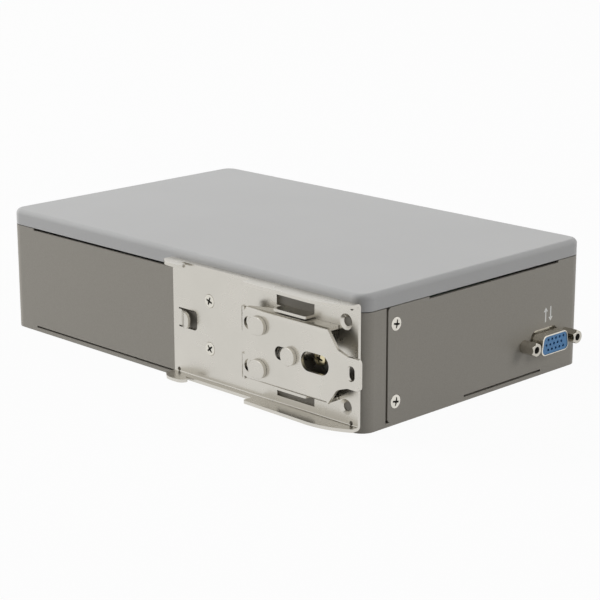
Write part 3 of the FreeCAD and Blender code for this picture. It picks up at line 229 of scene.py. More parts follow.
# %% [markdown]
# ## Powder coats
# The lid and the case are sprayed with powder that melts into a skin. Close up it has a soft orange
# peel, and its gloss drifts a little from place to place. The lid's grey is plain. The case's warm
# grey holds fine metal flakes, each with its own brightness. They lie deep in the clear powder, so
# the skin is only a little metallic. The peel is far too fine to be modelled, so a bump in the
# surface's normal stands for it.

# %% Powder coat finishes
def powder_coat(name, colour, roughness, peel, flake=0.0, metallic=0.0):
    """Peel height = fine noise + a fifth of broad noise; colour and gloss drift with both.

    A share, flake, of the colour's drift comes from cells a third of a millimetre wide.
    """
    f = Finish(name)
    fine = f.noise(1500, 2.0)
    broad = f.noise(22, 3.0)
    tone = fine * 0.35 + broad * 0.65
    if flake:
        cells = f.node("ShaderNodeTexVoronoi", {"feature": "F1"},
                       {"Vector": f.place, "Scale": 3300.0}, out="Color")
        spread = f.node("ShaderNodeSeparateColor", None, {"Color": cells}, out="Red")
        tone = tone * (1 - flake) + spread * flake
    gloss = (broad - 0.5) * 0.10 + (fine - 0.5) * 0.06 + roughness
    return f.surface(Base_Color=f.drifting(tone, colour, 0.90, 1.10), Roughness=gloss,
                     Metallic=metallic, Normal=f.bump(fine + broad * 0.2, peel))


lid_grey = (0.455, 0.455, 0.452)
case_brown_grey = (0.290, 0.272, 0.238)
paints = {
    "lid_paint": powder_coat("lid_paint", lid_grey, 0.52, 0.000016),
    "case_paint": powder_coat("case_paint", case_brown_grey, 0.46, 0.000020,
                              flake=0.45, metallic=0.08),
}
print("powder coats:", ", ".join(paints))

# %% [markdown]
# ## Plated and bare metals
# The clip is stamped from steel strip and plated. Rolling leaves very fine lines along the strip,
# which the plating softens, and handling leaves faint clouds in its gloss. Port shells and the
# spring are small parts of the same kind, so one recipe makes them all. It takes a colour, a gloss,
# and how strongly and in which direction the lines run.

# %% Rolled and plated metal
def metal(name, colour, roughness, line_scale=(900, 900, 900), lines=0.05, relief=0.000002):
    """Gloss = base + lines x (stretched noise) + clouds; colour drifts a little with the clouds."""
    f = Finish(name)
    streak = f.noise(1.0, 3.0, 0.6, f.stretched(line_scale))
    cloud = f.noise(55, 3.0)
    gloss = (streak - 0.5) * lines + (cloud - 0.5) * 0.12 + roughness
    return f.surface(Base_Color=f.drifting(cloud, colour, 0.93, 1.07), Roughness=gloss,
                     Metallic=1.0, Normal=f.bump(streak, relief))


along_x = (20, 500, 500)
metals = {
    "clip_plating": metal("clip_plating", (0.61, 0.588, 0.538), 0.27, along_x, 0.04, 0.0000002),
    "port_plating": metal("port_plating", (0.68, 0.65, 0.58), 0.22, (1500, 1500, 120), 0.08),
    # near-black steel that paints the deep shade on the strips behind the case's joints
    "painted_shade_steel": metal("painted_shade_steel", (0.04, 0.04, 0.04), 0.50),
    "plain_steel": metal("plain_steel", (0.52, 0.52, 0.51), 0.36),
    "bare_aluminium": metal("bare_aluminium", (0.76, 0.76, 0.77), 0.33, (60, 3000, 3000), 0.16),
    "contact_gold": metal("contact_gold", (0.88, 0.64, 0.28), 0.24),
    "cell_steel": metal("cell_steel", (0.70, 0.70, 0.69), 0.28, (2400, 60, 2400), 0.10),
}
print("rolled and plated metals:", ", ".join(metals))

# %% [markdown]
# Screws and jackscrews get a recipe of their own. Little light reaches into a driver's slot or a
# threaded bore, so the shade there is painted. Their pieces carry a number for each point, hollow,
# which is 1 deep inside, and the plating's colour is darkened with it as painted shade. A second
# material for the slot would leave a hard, toothed edge. The power button is turned on a lathe,
# whose tool leaves rings round its middle.

# %% Slotted and turned metal
def slotted_metal(name, colour, roughness):
    """Plating with painted shade in its hollows: colour goes to a twentieth, and gloss falls, with hollow."""
    f = Finish(name)
    cloud = f.noise(400, 2.0)
    # painted shade: hollow is 1 deep in a cross slot or threaded bore, and the colour darkens with it
    hollow = f.node("ShaderNodeAttribute", {"attribute_name": "hollow"}, out="Fac")
    tint = f.blend(hollow, f.drifting(cloud, colour, 0.90, 1.08), scaled(colour, 0.05))
    return f.surface(Base_Color=tint, Roughness=(cloud - 0.5) * 0.10 + hollow * 0.3 + roughness,
                     Metallic=1.0, Normal=f.bump(cloud, 0.000004))


def turned_metal(name, colour, roughness, centre, pitch):
    """Fine rings round an axis along Y: height = sine of the distance from the axis / pitch."""
    f = Finish(name)
    flat = f.stretched((1, 0, 1), shift=(-centre[0], 0, -centre[2]))
    distance = f.node("ShaderNodeVectorMath", {"operation": "LENGTH"}, {0: flat}, out="Value")
    ring = f.of_one("SINE", distance * (2 * math.pi / pitch))
    return f.surface(Base_Color=f.drifting(ring * 0.25 + 0.5, colour, 0.92, 1.05),
                     Roughness=ring * 0.04 + roughness, Metallic=1.0,
                     Normal=f.bump(ring, 0.000004))


cap_low, cap_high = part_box("power_cap")
cap_centre = tuple((cap_low + cap_high) / 2)
metals.update({
    "screw_plating": slotted_metal("screw_plating", (0.70, 0.675, 0.61), 0.26),
    "yellow_zinc": slotted_metal("yellow_zinc", (0.72, 0.64, 0.42), 0.28),
    "jack_plating": slotted_metal("jack_plating", (0.52, 0.495, 0.44), 0.18),
    "button_metal": turned_metal("button_metal", (0.62, 0.62, 0.63), 0.30, cap_centre, 0.00022),
})
paints.update(metals)
print("metals in all:", len(metals))

# %% [markdown]
# ## Plastics, boards and pads
# Moulded port bodies are plain plastic with a slightly frosted skin. A circuit board is green where
# its varnish covers copper, and darker between the tracks, which run in straight lines with square
# corners. The ribbon cable shows one ridge for each wire. The heat pads are soft and chalky.

# %% Other finishes
def moulding(name, colour, roughness):
    """Plastic skin: height and gloss follow one fine noise, colour a broad one."""
    f = Finish(name)
    frost = f.noise(2600, 2.0)
    cloud = f.noise(90, 2.0)
    return f.surface(Base_Color=f.drifting(cloud, colour, 0.88, 1.12),
                     Roughness=(frost - 0.5) * 0.10 + roughness, Normal=f.bump(frost, 0.000006))


def circuit_board(name, varnish):
    """Tracks = where sine(26 x distance in blocky cells) passes 0.2, so they run square."""
    f = Finish(name)
    cells = f.node("ShaderNodeTexVoronoi", {"feature": "F1", "distance": "CHEBYCHEV"},
                   {"Vector": f.place, "Scale": 420.0, "Randomness": 0.85}, out="Distance")
    track = f.of_one("SINE", cells * 26.0) > 0.2
    grain = f.noise(700, 2.0)
    return f.surface(Base_Color=f.drifting(track * 0.7 + grain * 0.3, varnish, 0.75, 1.6),
                     Roughness=(grain - 0.5) * 0.1 + 0.34, Normal=f.bump(track, 0.00002))


def ribbon(name, colour, pitch):
    """Ridges along the cable: height = absolute sine of pi x Y / pitch, and painted shade darkens the grooves."""
    f = Finish(name)
    across = f.node("ShaderNodeSeparateXYZ", None, {"Vector": f.place}, out="Y")
    ridge = f.of_one("ABSOLUTE", f.of_one("SINE", across * (math.pi / pitch)))
    # painted shade and light: colour is 0.6 times in the grooves between wires and 1.1 times on their crests
    return f.surface(Base_Color=f.drifting(ridge, colour, 0.6, 1.1),
                     Roughness=0.5 - ridge * 0.08, Normal=f.bump(ridge, 0.0002))


def clear_moulding(name, colour):
    """Clear plastic rod seen end on: pale, glossy, with a faint cloud."""
    f = Finish(name)
    cloud = f.noise(800, 1.0)
    return f.surface(Base_Color=f.drifting(cloud, colour, 0.9, 1.0),
                     Roughness=cloud * 0.06 + 0.08, Coat_Weight=1.0)


paints.update({
    "blue_insulator": moulding("blue_insulator", (0.075, 0.235, 0.480), 0.42),
    "black_insulator": moulding("black_insulator", (0.020, 0.020, 0.022), 0.45),
    "chip_black": moulding("chip_black", (0.025, 0.025, 0.027), 0.55),
    "pad_grey": moulding("pad_grey", (0.36, 0.37, 0.39), 0.80),
    "board_green": circuit_board("board_green", (0.022, 0.130, 0.052)),
    "cable_grey": ribbon("cable_grey", (0.42, 0.42, 0.44), 0.00127),
    "light_pipe": clear_moulding("light_pipe", (0.78, 0.82, 0.79)),
})
print("finishes in all:", len(paints))

# %% [markdown]
# ## Dress the CAD nodes
# The record names one finish slot for each node, so a loop can dress them all, and no node is left
# with a plain colour. The strips behind the case's joints lie in deep shade, so instead of their
# slot they get a near-black steel: painted shade.

# %% Assign the finishes
slot_of = {part["node"]: part["material_slot"] for part in frame["record"]["subparts"]}
for name, node in nodes.items():
    node.data.materials.clear()
    node.data.materials.append(paints[slot_of[name]])
# painted shade: the strips behind the case's joints get near-black steel in place of their slot's finish
nodes["joint_strips"].data.materials[0] = paints["painted_shade_steel"]
print("dressed", len(slot_of), "nodes")

# %% [markdown]
# ## Two ways to make a surface
# Most small parts here are turned or drawn. A turned part is a stack of rings round an axis, and
# its radius may change with the angle too, which gives hexagons and cross slots. Blender's Screw
# modifier turns only round profiles, so the rings are worked out here, as whole arrays.

# %% Turned parts
def round_angles(count):
    """Angles of a ring's points, evenly spaced over one full turn."""
    return np.arange(count) * 2 * np.pi / count


def turned(radius, height, at, axis, up):
    """Stack of rings: point = at + height x axis + radius x (cos a x up + sin a x side).

    radius and height are arrays of rings by angles, and the two ends close on the axis.
    """
    rings, count = radius.shape
    axis, up = np.asarray(axis, float), np.asarray(up, float)
    side = np.cross(axis, up)
    angle = round_angles(count)
    spokes = np.cos(angle)[:, None] * up + np.sin(angle)[:, None] * side
    body = height[..., None] * axis + radius[..., None] * spokes
    ends = np.array([height[0].mean() * axis, height[-1].mean() * axis])
    points = np.vstack([body.reshape(-1, 3), ends]) + np.asarray(at, float)
    ring, spoke = np.meshgrid(np.arange(rings - 1), np.arange(count), indexing="ij")
    after = (spoke + 1) % count
    quads = np.stack([ring * count + spoke, ring * count + after,
                      (ring + 1) * count + after, (ring + 1) * count + spoke], -1).reshape(-1, 4)
    k = np.arange(count)
    k1 = (k + 1) % count
    low = np.stack([np.full(count, rings * count), k1, k], -1)
    last = (rings - 1) * count
    high = np.stack([np.full(count, rings * count + 1), last + k, last + k1], -1)
    return points, quads, np.vstack([low, high])


def spun(profile, at, axis, up, count=16):
    """Turned part whose radius is the same all round; profile lists (radius, height) pairs."""
    radius, height = (np.repeat(row[:, None], count, 1) for row in np.array(profile, float).T)
    return turned(radius, height, at, axis, up)


X, Y, UP = (1, 0, 0), (0, 1, 0), (0, 0, 1)
print("a turned cone of 2 rings has", len(spun(((1, 0), (0.5, 1)), (0, 0, 0), X, Y)[0]), "points")

# %% [markdown]
# A drawn part is a flat section carried along a path, such as a contact strip or a spring's wire.
# A curve with a bevel would do for some of them, but not for a section that changes on its way, as
# a threaded liner's does.

# %% Drawn parts
def carried(sections, looped=False):
    """Section of m corners carried through n places: an (n, m, 3) array, capped unless looped."""
    sections = np.asarray(sections, float)
    n, m = sections.shape[:2]
    steps = np.arange(n if looped else n - 1)
    step, corner = np.meshgrid(steps, np.arange(m), indexing="ij")
    later, beside = (step + 1) % n, (corner + 1) % m
    quads = np.stack([step * m + corner, later * m + corner,
                      later * m + beside, step * m + beside], -1).reshape(-1, 4)
    k = np.arange(1, 1 if looped else m - 1)
    cap = np.stack([0 * k, k, k + 1], -1)
    return sections.reshape(-1, 3), quads, np.vstack([cap, cap + (n - 1) * m])


print("a box drawn through 2 places has", len(carried(np.zeros((2, 4, 3)))[1]), "sides")

# %% [markdown]
# The arrays of one kind of part are joined into one mesh. Its normals are made to face out, its
# edges stay sharp where the faces meet at a wide angle, and it is told which body it rides on.

# %% From arrays to a piece
def piece(name, surfaces, slot, body="housing", replaces=(), smooth_angle=35):
    """Join surfaces in millimetres into one mesh in metres, face its normals out and place it.

    A surface is its corners, quads and triangles, and may add the hollow number of each corner, which sets the
    painted shade of the screw finishes.
    """
    points, faces, hollows, start = [], [], [], 0
    for corners, quads, triangles, *hollow in surfaces:
        points.append(corners * MM)
        hollows.append(hollow[0] if hollow else np.zeros(len(corners)))
        faces += (quads + start).tolist() + (triangles + start).tolist()
        start += len(corners)
    mesh = bpy.data.meshes.new(name)
    mesh.from_pydata(np.vstack(points).tolist(), [], faces)
    mesh.update()
    attribute = mesh.attributes.new("hollow", "FLOAT", "POINT")
    attribute.data.foreach_set("value", np.concatenate(hollows))
    made = bpy.data.objects.new(name, mesh)
    bpy.context.scene.collection.objects.link(made)
    bpy.context.view_layer.objects.active = made
    made.select_set(True)
    bpy.ops.object.mode_set(mode="EDIT")
    bpy.ops.mesh.select_all(action="SELECT")
    bpy.ops.mesh.normals_make_consistent(inside=False)
    bpy.ops.object.mode_set(mode="OBJECT")
    bpy.ops.object.shade_smooth_by_angle(angle=math.radians(smooth_angle))
    made.select_set(False)
    mesh.materials.append(paints[slot])
    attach(made, body)
    if replaces:
        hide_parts(*replaces)
    print(f"{name}: {len(mesh.vertices)} points, {len(mesh.polygons)} faces")
    return made


def corners_mm(node):
    """Lowest and highest corner of a CAD node, in millimetres."""
    low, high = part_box(node)
    return np.array(low) / MM, np.array(high) / MM


print("the lid spans", np.round(np.subtract(*corners_mm("lid")[::-1]), 2), "mm")

# %% [markdown]
# ## Screws with a cross slot
# Each screw's head is a shallow dome with a cross pressed into it. The four arms slope down towards
# the middle and their edges are slightly rounded. A turned surface whose rings are pushed down
# where the cross lies keeps the head, its rim and its cone in one closed skin. The rings are closer
# across the dome, where the cross needs them, and the points down in the cross count as hollow,
# which is painted shade in the screws' finish.

# %% The screw heads
# The cross's reach, its arms' width, its depth and the depth from which its painted shade is full, as
# shares of the head's radius. The slot's soft edge, the rim's radius and the shank's are in millimetres.
cross_reach, cross_width, cross_depth, cross_dark = 0.64, 0.34, 0.46, 0.12
slot_edge, rim, root = 0.12, 0.12, 1.2
dome_rings, screw_spokes = 30, 128


def cross_slot(u, v, head):
    """Depth of a cross: for each arm, depth x root(1 - length share) x a soft step at its sides."""
    def arm(along, across):
        share = np.clip(1 - np.abs(along) / (head * cross_reach), 0, 1)
        half = head * cross_width / 2 * (0.7 + 0.3 * share)
        wall = np.clip((half - np.abs(across)) / slot_edge, 0, 1)
        return head * cross_depth * np.sqrt(share) * wall * wall * (3 - 2 * wall)
    return np.maximum(arm(u, v), arm(v, u))


def screw(face, axis, up, head, dome, cone, length, turn):
    """Head centred on face, looking along axis, then rounded rim, cone and plain shank.

    Height of the head = dome x (1 - (r / head) squared) - depth of the cross.
    """
    dome_r = np.linspace(0.05, head - rim, dome_rings)
    dome_z = dome * (1 - (dome_r / head) ** 2)
    bend = np.linspace(0, np.pi / 2, 5)[1:]
    rim_r = head - rim + rim * np.sin(bend)
    rim_z = dome_z[-1] - rim * (1 - np.cos(bend))
    under = np.array([[head, rim_z[-1] - 0.05], [root, -cone], [root, -length]])
    r = np.concatenate([dome_r, rim_r, under[:, 0]])
    z = np.concatenate([dome_z, rim_z, under[:, 1]])
    angle = round_angles(screw_spokes) + turn
    sunk = cross_slot(dome_r[:, None] * np.cos(angle), dome_r[:, None] * np.sin(angle), head)
    height = np.repeat(z[:, None], screw_spokes, 1)
    height[:dome_rings] -= sunk
    radius = np.repeat(r[:, None], screw_spokes, 1)
    corners, quads, triangles = turned(radius, height, face, axis, up)
    # hollow, the painted shade, grows with the cross's depth and is full at the point at the bottom of the cross
    hollow = np.zeros(len(corners))
    hollow[:sunk.size] = np.clip(sunk.ravel() / (head * cross_dark), 0, 1)
    hollow[-2] = 1  # the point on the axis, at the bottom of the cross
    return corners, quads, triangles, hollow


cad_head, seat_gap = 2.7, 0.2
head = cad_head - seat_gap
low, high = corners_mm("panel_screws")
panel_y = (low[1] + high[1]) / 2
screws = [screw((side * high[0], panel_y, z), (side, 0, 0), UP, head, 0.35, 1.1, 4.2, turn)
          for side, turn in ((-1, 0.5), (1, 0.2)) for z in (low[2] + cad_head, high[2] - cad_head)]
piece("cross_screws_panel", screws, "screw_plating", replaces=["panel_screws"])

low, high = corners_mm("clip_screws")
middle_x = (low[0] + high[0]) / 2
screws = [screw((middle_x, low[1], z), (0, -1, 0), UP, head, 0.12, 1.1, high[1] - low[1], turn)
          for z, turn in ((low[2] + cad_head, 0.9), (high[2] - cad_head, 0.35))]
piece("cross_screws_clip", screws, "screw_plating", replaces=["clip_screws"])

low, high = corners_mm("base_screws")
screws = [screw((side * (high[0] - cad_head), end * (high[1] - cad_head), low[2]), (0, 0, -1), X,
                head, 0.0, 1.1, high[2] - low[2], 0.3 + side * 0.4 + end * 0.2)
          for side in (-1, 1) for end in (-1, 1)]
piece("cross_screws_base", screws, "screw_plating", replaces=["base_screws"])

low, high = corners_mm("tail_screw")
tail_dome = 0.35
tail_face = ((low[0] + high[0]) / 2, low[1] + tail_dome, (low[2] + high[2]) / 2)
tail = screw(tail_face, (0, -1, 0), UP, (high[0] - low[0]) / 2, tail_dome, 1.26,
             high[1] - low[1] - tail_dome, 0.25)
piece("cross_screw_tail", [tail], "yellow_zinc", replaces=["tail_screw"])

# %% [markdown]
# ## The latch's spring
# A small compression spring pushes the latch towards the rail, and it shows through one slot. It is
# round wire wound in a helix whose pitch closes up at both ends, so that the end turns lie flat. It
# can't ride on the latch, because its other end stays where it is, so it rides on the housing, and
# the share of its length that it keeps at the end of the latch's travel is worked out.

# %% The coiled spring
def coil(low, high, wire, turns, closing=0.75, steps=28, around=8):
    """Round section, wire in radius, carried along a helix.

    Travel = share - closing x sin(2 pi x share) / (2 pi), which is nearly flat at both ends.
    """
    share = np.linspace(0, 1, int(turns * steps))
    angle = 2 * np.pi * turns * share
    travel = share - closing * np.sin(2 * np.pi * share) / (2 * np.pi)
    reach = (high[1:] - low[1:]).min() / 2 - wire
    spoke = np.stack([0 * angle, np.cos(angle), np.sin(angle)], -1)
    line = (low + high) / 2 + reach * spoke
    line[:, 0] = low[0] + wire + (high[0] - low[0] - 2 * wire) * travel
    b = round_angles(around)[:, None]
    offset = wire * (np.cos(b) * spoke[:, None] + np.sin(b) * np.array(X, float))
    return carried(line[:, None] + offset)


low, high = corners_mm("latch_spring")
wound = coil(low, high, 0.33, 9)
spring = piece("coiled_spring", [wound], "plain_steel", replaces=["latch_spring"])
slide = next(joint for joint in frame["joints"] if joint["name"] == "latch_slide")
travel_mm = slide["range_m"][1] / MM
kept = (high[0] - low[0] - travel_mm) / (high[0] - low[0])
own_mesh(spring)
print("the spring keeps", round(kept, 3), "of its length")

# %% [markdown]
# ## Jackscrews
# A plug's two screws go into hexagonal posts beside each D-shaped port. A post is cut from hexagon
# bar, so its outline is a hexagon whose corners a lathe has rounded off at the ends. Its bore is
# threaded. The radius of each ring is the smaller of the hexagon and the lathe's cone, and the
# bore's radius rises and falls once a turn.

# %% The hexagonal posts
def saw(height, pitch, angle):
    """Thread: 1 at the crests, 0 at the roots, and one turn later for each pitch of height."""
    return np.abs((height / pitch - angle / (2 * np.pi)) % 1 - 0.5) * 2


def jackscrew(tip, axis, up, length, flats=4.8, shank=6.0, shank_r=1.35, count=96):
    """Shank, hexagon with turned corners, end face and bore of radius 1.40 - 0.22 x thread."""
    angle = round_angles(count)
    wedge = (angle + np.pi / 6) % (np.pi / 3) - np.pi / 6
    hexagon = flats / 2 / np.cos(wedge)
    corner, turned_share, taper = flats / math.sqrt(3), 0.86, 0.55

    def ring(radius, height):
        return np.full(count, radius), height

    def tapered(shares, start, way):
        """Rings whose corners the lathe's cone cuts back, to turned_share at share 0."""
        return [(np.minimum(hexagon, corner * (turned_share + 0.14 * share)),
                 start + way * taper * share) for share in shares]

    rings = [ring(0.2, -length - shank), ring(shank_r, -length - shank), ring(shank_r, -length),
             ring(corner * turned_share, -length)]
    rings += tapered(np.linspace(0, 1, 6), -length, 1) + tapered(np.linspace(1, 0, 6), 0, -1)
    rings.append(ring(1.62, 0.0))
    first_dark = len(rings) + 1  # the thread's first ring stays bright
    for depth in np.linspace(0.15, 4.4, 44):
        fade = min(1.0, depth / 0.4)
        rings.append((1.40 - 0.22 * saw(depth, 0.6, angle) * fade, -depth))
    rings.append(ring(0.1, -4.5))
    radius = np.array([r for r, z in rings])
    height = np.array([np.full(count, z) for r, z in rings])
    corners, quads, triangles = turned(radius, height, tip, axis, up)
    # hollow marks the threaded bore for painted shade, from its second ring to the point at its bottom
    hollow = np.zeros(len(corners))
    hollow[first_dark * count:-2] = 1
    hollow[-1] = 1  # the point on the axis, at the bottom of the bore
    return corners, quads, triangles, hollow


spacing = 24.99  # between the two posts of a fifteen-way port
shell_low, shell_high = corners_mm("dio_shell")
com_low, com_high = corners_mm("com_shell")
jack_high, case_high = corners_mm("jackscrews")[1], corners_mm("lid")[1]
port_y, port_z = (shell_low[1:] + shell_high[1:]) / 2
com_x, com_z = ((com_low + com_high) / 2)[[0, 2]]
side_out, front_out = (jack_high - case_high)[:2]
jacks = [jackscrew((jack_high[0], port_y + s * spacing / 2, port_z), X, Y, side_out)
         for s in (-1, 1)]
jacks += [jackscrew((com_x + s * spacing / 2, jack_high[1], com_z), Y, X, front_out)
          for s in (-1, 1)]
posts = piece("threaded_jackscrews", jacks, "port_plating", replaces=["jackscrews"],
              smooth_angle=28)
posts.data.materials[0] = paints["jack_plating"]

# %% [markdown]
# ## Contacts
# Every port has small gold-coloured contacts. The network sockets have sprung wires, and the ports
# with a tongue have flat strips. Either is a rectangle carried along a short path, so one function
# serves them all. The wires bend smoothly, so their path is a curve through five points.

# %% Sprung wires
def strip(path, width, thickness):
    """Rectangle carried along a path: path +- width / 2 x X +- thickness / 2 x normal."""
    path, across = np.asarray(path, float), np.array(X, float)
    normal = np.cross(np.gradient(path, axis=0), across)
    normal /= np.linalg.norm(normal, axis=1)[:, None]
    w, t = across * width / 2, normal * thickness / 2
    return carried(np.stack([path - w - t, path + w - t, path + w + t, path - w + t], 1))


def smooth_path(points, count=24):
    """Points joined by a smooth curve: cubic Hermite runs between them, sampled evenly."""
    points = np.asarray(points, float)
    slope = np.gradient(points, axis=0)
    t = np.linspace(0, len(points) - 1, count)
    k = np.minimum(t.astype(int), len(points) - 2)
    s = (t - k)[:, None]
    a, b, da, db = points[k], points[k + 1], slope[k], slope[k + 1]
    return (a * (1 + 2 * s) * (1 - s) ** 2 + da * s * (1 - s) ** 2
            + b * s * s * (3 - 2 * s) + db * s * s * (s - 1))


def row_of(count, pitch, middle):
    """Places of a row of contacts, evenly spaced round its middle."""
    return [middle + (k - (count - 1) / 2) * pitch for k in range(count)]


# Each bend's depth behind the mouth, and its drop below the roof.
wire_bends = ((2.4, 0.25), (6.0, 1.3), (9.4, 2.35), (11.0, 2.3), (12.8, 1.2))
lan_wires = []
for node in ("lan_insert_1", "lan_insert_2"):
    low, high = corners_mm(node)
    middle, roof, mouth = (low[0] + high[0]) / 2, high[2] - 2.0, high[1] + 0.5
    for x in row_of(8, 1.02, middle):
        bends = [(x, mouth - depth, roof - drop) for depth, drop in wire_bends]
        lan_wires.append(strip(smooth_path(bends), 0.45, 0.22))
piece("lan_contact_wires", lan_wires, "contact_gold")

# %% Flat strips
usb_depths, video_depths, under_tongue = (11.0, 6.0, 2.6), (7.5, 4.0, 2.0), 0.98
usb_strips = []
for node in ("usb_shell_1", "usb_shell_2"):
    low, high = corners_mm(node)
    for z in (low[2] + 4.0, high[2] - 4.0):
        for x in row_of(4, 2.35, (low[0] + high[0]) / 2):
            path = [(x, high[1] - depth, z - under_tongue) for depth in usb_depths]
            usb_strips.append(strip(path, 1.1, 0.14))
piece("usb_contact_strips", usb_strips, "contact_gold")

low, high = corners_mm("video_shell")
video_strips = [strip([(x, high[1] - depth, high[2] - drop) for depth in video_depths], 0.42, 0.12)
                for drop in (3.63, 2.17) for x in row_of(10, 0.95, (low[0] + high[0]) / 2)]
piece("video_contact_strips", video_strips, "contact_gold")

# %% [markdown]
# The D-shaped port on the front has nine pins with rounded tips. The one on the side has a sleeve
# deep in each of its fifteen holes. Both are round, so a short list of radius and height is enough.

# %% Pins and sleeves
pin = ((0.1, 0.45), (0.52, 0.45), (0.52, 4.1), (0.47, 4.35), (0.36, 4.50), (0.18, 4.56))
pins = [spun(pin, (x, case_high[1], com_z + rise), Y, X)
        for rise, many in ((1.42, 4), (-1.42, 5)) for x in row_of(many, 2.77, com_x)]
piece("serial_pins", pins, "contact_gold")

sleeve = ((0.10, -3.9), (0.53, -3.9), (0.53, -2.6), (0.40, -2.5), (0.40, -3.5), (0.05, -3.6))
sleeve_pitch, row_pitch, stagger = 2.29, 1.98, 0.25
mouth = shell_high[0] - 0.3
sleeves = [spun(sleeve, (mouth, y + shift * sleeve_pitch, port_z + row * row_pitch), X, Y)
           for row, shift in ((1, stagger), (0, -stagger), (-1, stagger))
           for y in row_of(5, sleeve_pitch, port_y)]
piece("contact_sleeves", sleeves, "contact_gold")

# %% [markdown]
# ## Printed and engraved marks
# The side port has a small white mark printed above it. A plain pair of arrows, one up and one
# down, says that signals go in and out. The power button has the usual ring and bar. Both are
# slabs a few hundredths of a millimetre thick: enough to be real, too little to cast a shadow.

# %% Ink and arrows
def screen_ink(name, colour):
    """Screen ink: almost flat, a little patchy where it is thin."""
    f = Finish(name)
    thin = f.noise(1800, 3.0)
    return f.surface(Base_Color=f.drifting(thin, colour, 0.86, 1.0),
                     Roughness=0.5 + (thin - 0.5) * 0.2, Normal=f.bump(thin, 0.000005))


paints["white_ink"] = screen_ink("white_ink", (0.92, 0.92, 0.90))
paints["dark_ink"] = screen_ink("dark_ink", (0.05, 0.05, 0.055))
sunk_mm = 0.005  # how far an ink slab reaches into the face under it


def slab(outline_a, outline_b, lift):
    """Thin slab between two lines of points, lifted in one direction: four corners a place."""
    a, b, lift = np.asarray(outline_a, float), np.asarray(outline_b, float), np.asarray(lift, float)
    return carried(np.stack([a, b, b + lift, a + lift], 1))


def arrow(y, z, head, size=5.8, stroke=0.62, wing=1.25, inner=0.5, wing_length=1.7, notch=1.0,
          neck_share=0.55):
    """Arrow on the side face that points up for a head of 1: a stem, and a tip of two strokes."""
    x = case_high[0] - sunk_mm
    lift = (0.035, 0, 0)
    tail, tip = z - size / 2 * head, z + size / 2 * head
    neck = z + size / 2 * neck_share * head
    stem = slab(*([(x, y + side * stroke / 2, end) for end in (tail, neck)] for side in (-1, 1)),
                lift)
    back = tip - wing_length * head
    point = slab([(x, y - wing, back), (x, y, tip), (x, y + wing, back)],
                 [(x, y - inner, back), (x, y, tip - notch * head), (x, y + inner, back)], lift)
    return [stem, point]


mark_y, mark_z, apart = port_y + 2.0, port_z + 9.9, 1.5
marks = arrow(mark_y - apart, mark_z, 1) + arrow(mark_y + apart, mark_z, -1)
arrows = piece("port_arrows", marks, "lid_paint")
arrows.data.materials[0] = paints["white_ink"]

# %% The power mark
def on_cap(x, z):
    """Line of points on the cap's face, x and z millimetres from its middle."""
    middle = np.array(cap_centre) / MM
    face_y = cap_high[1] / MM - sunk_mm
    return np.stack(np.broadcast_arrays(middle[0] + x, face_y, middle[2] + z), -1)


turns = np.radians(np.linspace(-240, 60, 40))
ring = [on_cap(r * np.cos(turns), r * np.sin(turns)) for r in (1.75, 2.15)]
bar_ends, bar_half = np.array((0.4, 2.4)), 0.2
bar = [on_cap(side * bar_half, bar_ends) for side in (-1, 1)]
symbol = [slab(*outlines, (0, 0.03, 0)) for outlines in (ring, bar)]
power_mark = piece("power_mark", symbol, "button_metal", body="button")
power_mark.data.materials[0] = paints["dark_ink"]

# %% [markdown]
# ## Threads in the base
# The bracket nuts in the base plate show their threads from below. A thin threaded liner sits in
# each bore: its outer wall touches the bore, and its inner wall follows the thread.

# %% The nut threads
def thread_liner(x, y, bottom, top, bore, pitch=0.7, count=48, rings=34):
    """Closed tube: outer wall straight, inner radius = bore - 0.06 - 0.26 x thread."""
    angle = round_angles(count)
    z = np.linspace(bottom, top, rings)
    inner = bore - 0.06 - 0.26 * saw(z[:, None], pitch, angle)
    outer = np.full((2, count), bore - 0.01)
    radius = np.vstack([inner, outer])
    height = np.repeat(np.concatenate([z, [top, bottom]])[:, None], count, 1)
    points = np.stack([x + radius * np.cos(angle), y + radius * np.sin(angle), height], -1)
    return carried(np.moveaxis(points, 1, 0), looped=True)


nut_low, nut_high = corners_mm("bracket_nuts")
nut_r, inset = 4.0, 0.1
nut_x, nut_y = nut_high[:2] - nut_r
liners = [thread_liner(sx * nut_x, sy * nut_y, nut_low[2] + inset, nut_high[2] - inset, 1.65)
          for sx in (-1, 1) for sy in (-1, 1)]
piece("bracket_threads", liners, "plain_steel")

# %% [markdown]
# ## Floor, light and camera
# The floor and the sky are plain and pale. Seen directly or in a reflection they are almost white,
# and the floor still keeps the object's soft shadow. To the rays that only light the object the sky
# is dim, so the lamps shape it. The floor lies a tenth of a millimetre low, clear of the base.

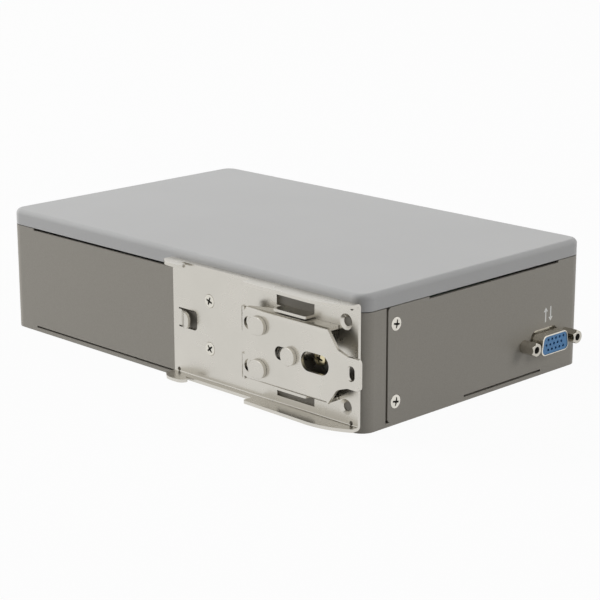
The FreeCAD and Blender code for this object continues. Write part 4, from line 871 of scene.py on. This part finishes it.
# %% Floor and sky
white, grey = (1, 1, 1, 1), (0.50, 0.50, 0.50, 1)
floor_half, drop, shadow_kept = 12.0, 0.0001, 0.04
square = ((-1, -1), (1, -1), (1, 1), (-1, 1))
floor_mesh = bpy.data.meshes.new("floor")
floor_mesh.from_pydata([(floor_half * u, floor_half * v, -drop) for u, v in square], [],
                       [(0, 1, 2, 3)])
floor_paint = bpy.data.materials.new("studio_floor")
tree = Network(floor_paint)
matt = tree.node("ShaderNodeBsdfDiffuse", None, {"Color": grey})
glow = tree.node("ShaderNodeEmission", None, {"Color": white, "Strength": 1.0})
tree.mixed(tree.seen() * (1 - shadow_kept), matt, glow)
floor_mesh.materials.append(floor_paint)
floor = bpy.data.objects.new("floor", floor_mesh)
bpy.context.scene.collection.objects.link(floor)

world = bpy.data.worlds.new("studio")
bpy.context.scene.world = world
sky = Network(world, "ShaderNodeOutputWorld")
dim, bright = (sky.node("ShaderNodeBackground", None, {"Color": white, "Strength": strength})
               for strength in (0.14, 1.0))
sky.mixed(sky.seen(), dim, bright)
print(f"floor {2 * floor_half:.0f} m wide, and a sky")

# %% [markdown]
# Most light comes from a wide lamp overhead and from a bank on the left. A weaker bank on the right
# fills the rest. The two banks are hidden from gloss, so they light the paint and leave no hot spot
# in the plating. The level is one at which a colour looks as it was written.

# %% Lamps
def softbox(name, place, size, watts, in_gloss):
    """Square area lamp at place, turned so that its -Z looks at the middle of the object."""
    lamp = bpy.data.lights.new(name, "AREA")
    lamp.size = size
    lamp.energy = watts
    holder = bpy.data.objects.new(name, lamp)
    bpy.context.scene.collection.objects.link(holder)
    holder.location = place
    holder.visible_glossy = in_gloss
    away = np.array(place, float) - np.array((0, 0, 0.02))
    yaw = math.atan2(away[0], -away[1])
    tilt = math.acos(away[2] / np.linalg.norm(away))
    holder.rotation_euler = (tilt, 0, yaw)


softbox("overhead", (0.0, 0.0, 2.4), 3.0, 20.0, in_gloss=True)
softbox("left_bank", (-2.2, -0.9, 1.0), 1.2, 72.0, in_gloss=False)
softbox("right_bank", (1.9, 1.3, 1.0), 1.2, 22.0, in_gloss=False)
print("three lamps")

# %% [markdown]
# The camera looks down a little at the corner between the clip's side and the port's side, through
# a long lens from less than a metre away.

# %% Camera
camera_data = bpy.data.cameras.new("camera")
camera_data.lens = 111.42
camera_data.sensor_width = 36.0
camera = bpy.data.objects.new("camera", camera_data)
bpy.context.scene.collection.objects.link(camera)
camera.location = (0.51647, -0.50547, 0.21459)
camera.rotation_euler = tuple(math.radians(a) for a in (74.762, 0.097, 45.171))
bpy.context.scene.camera = camera
bpy.context.scene.view_settings.view_transform = "Standard"
print(f"camera {camera.location.length:.2f} m away, with a lens of {camera_data.lens:.2f} mm")
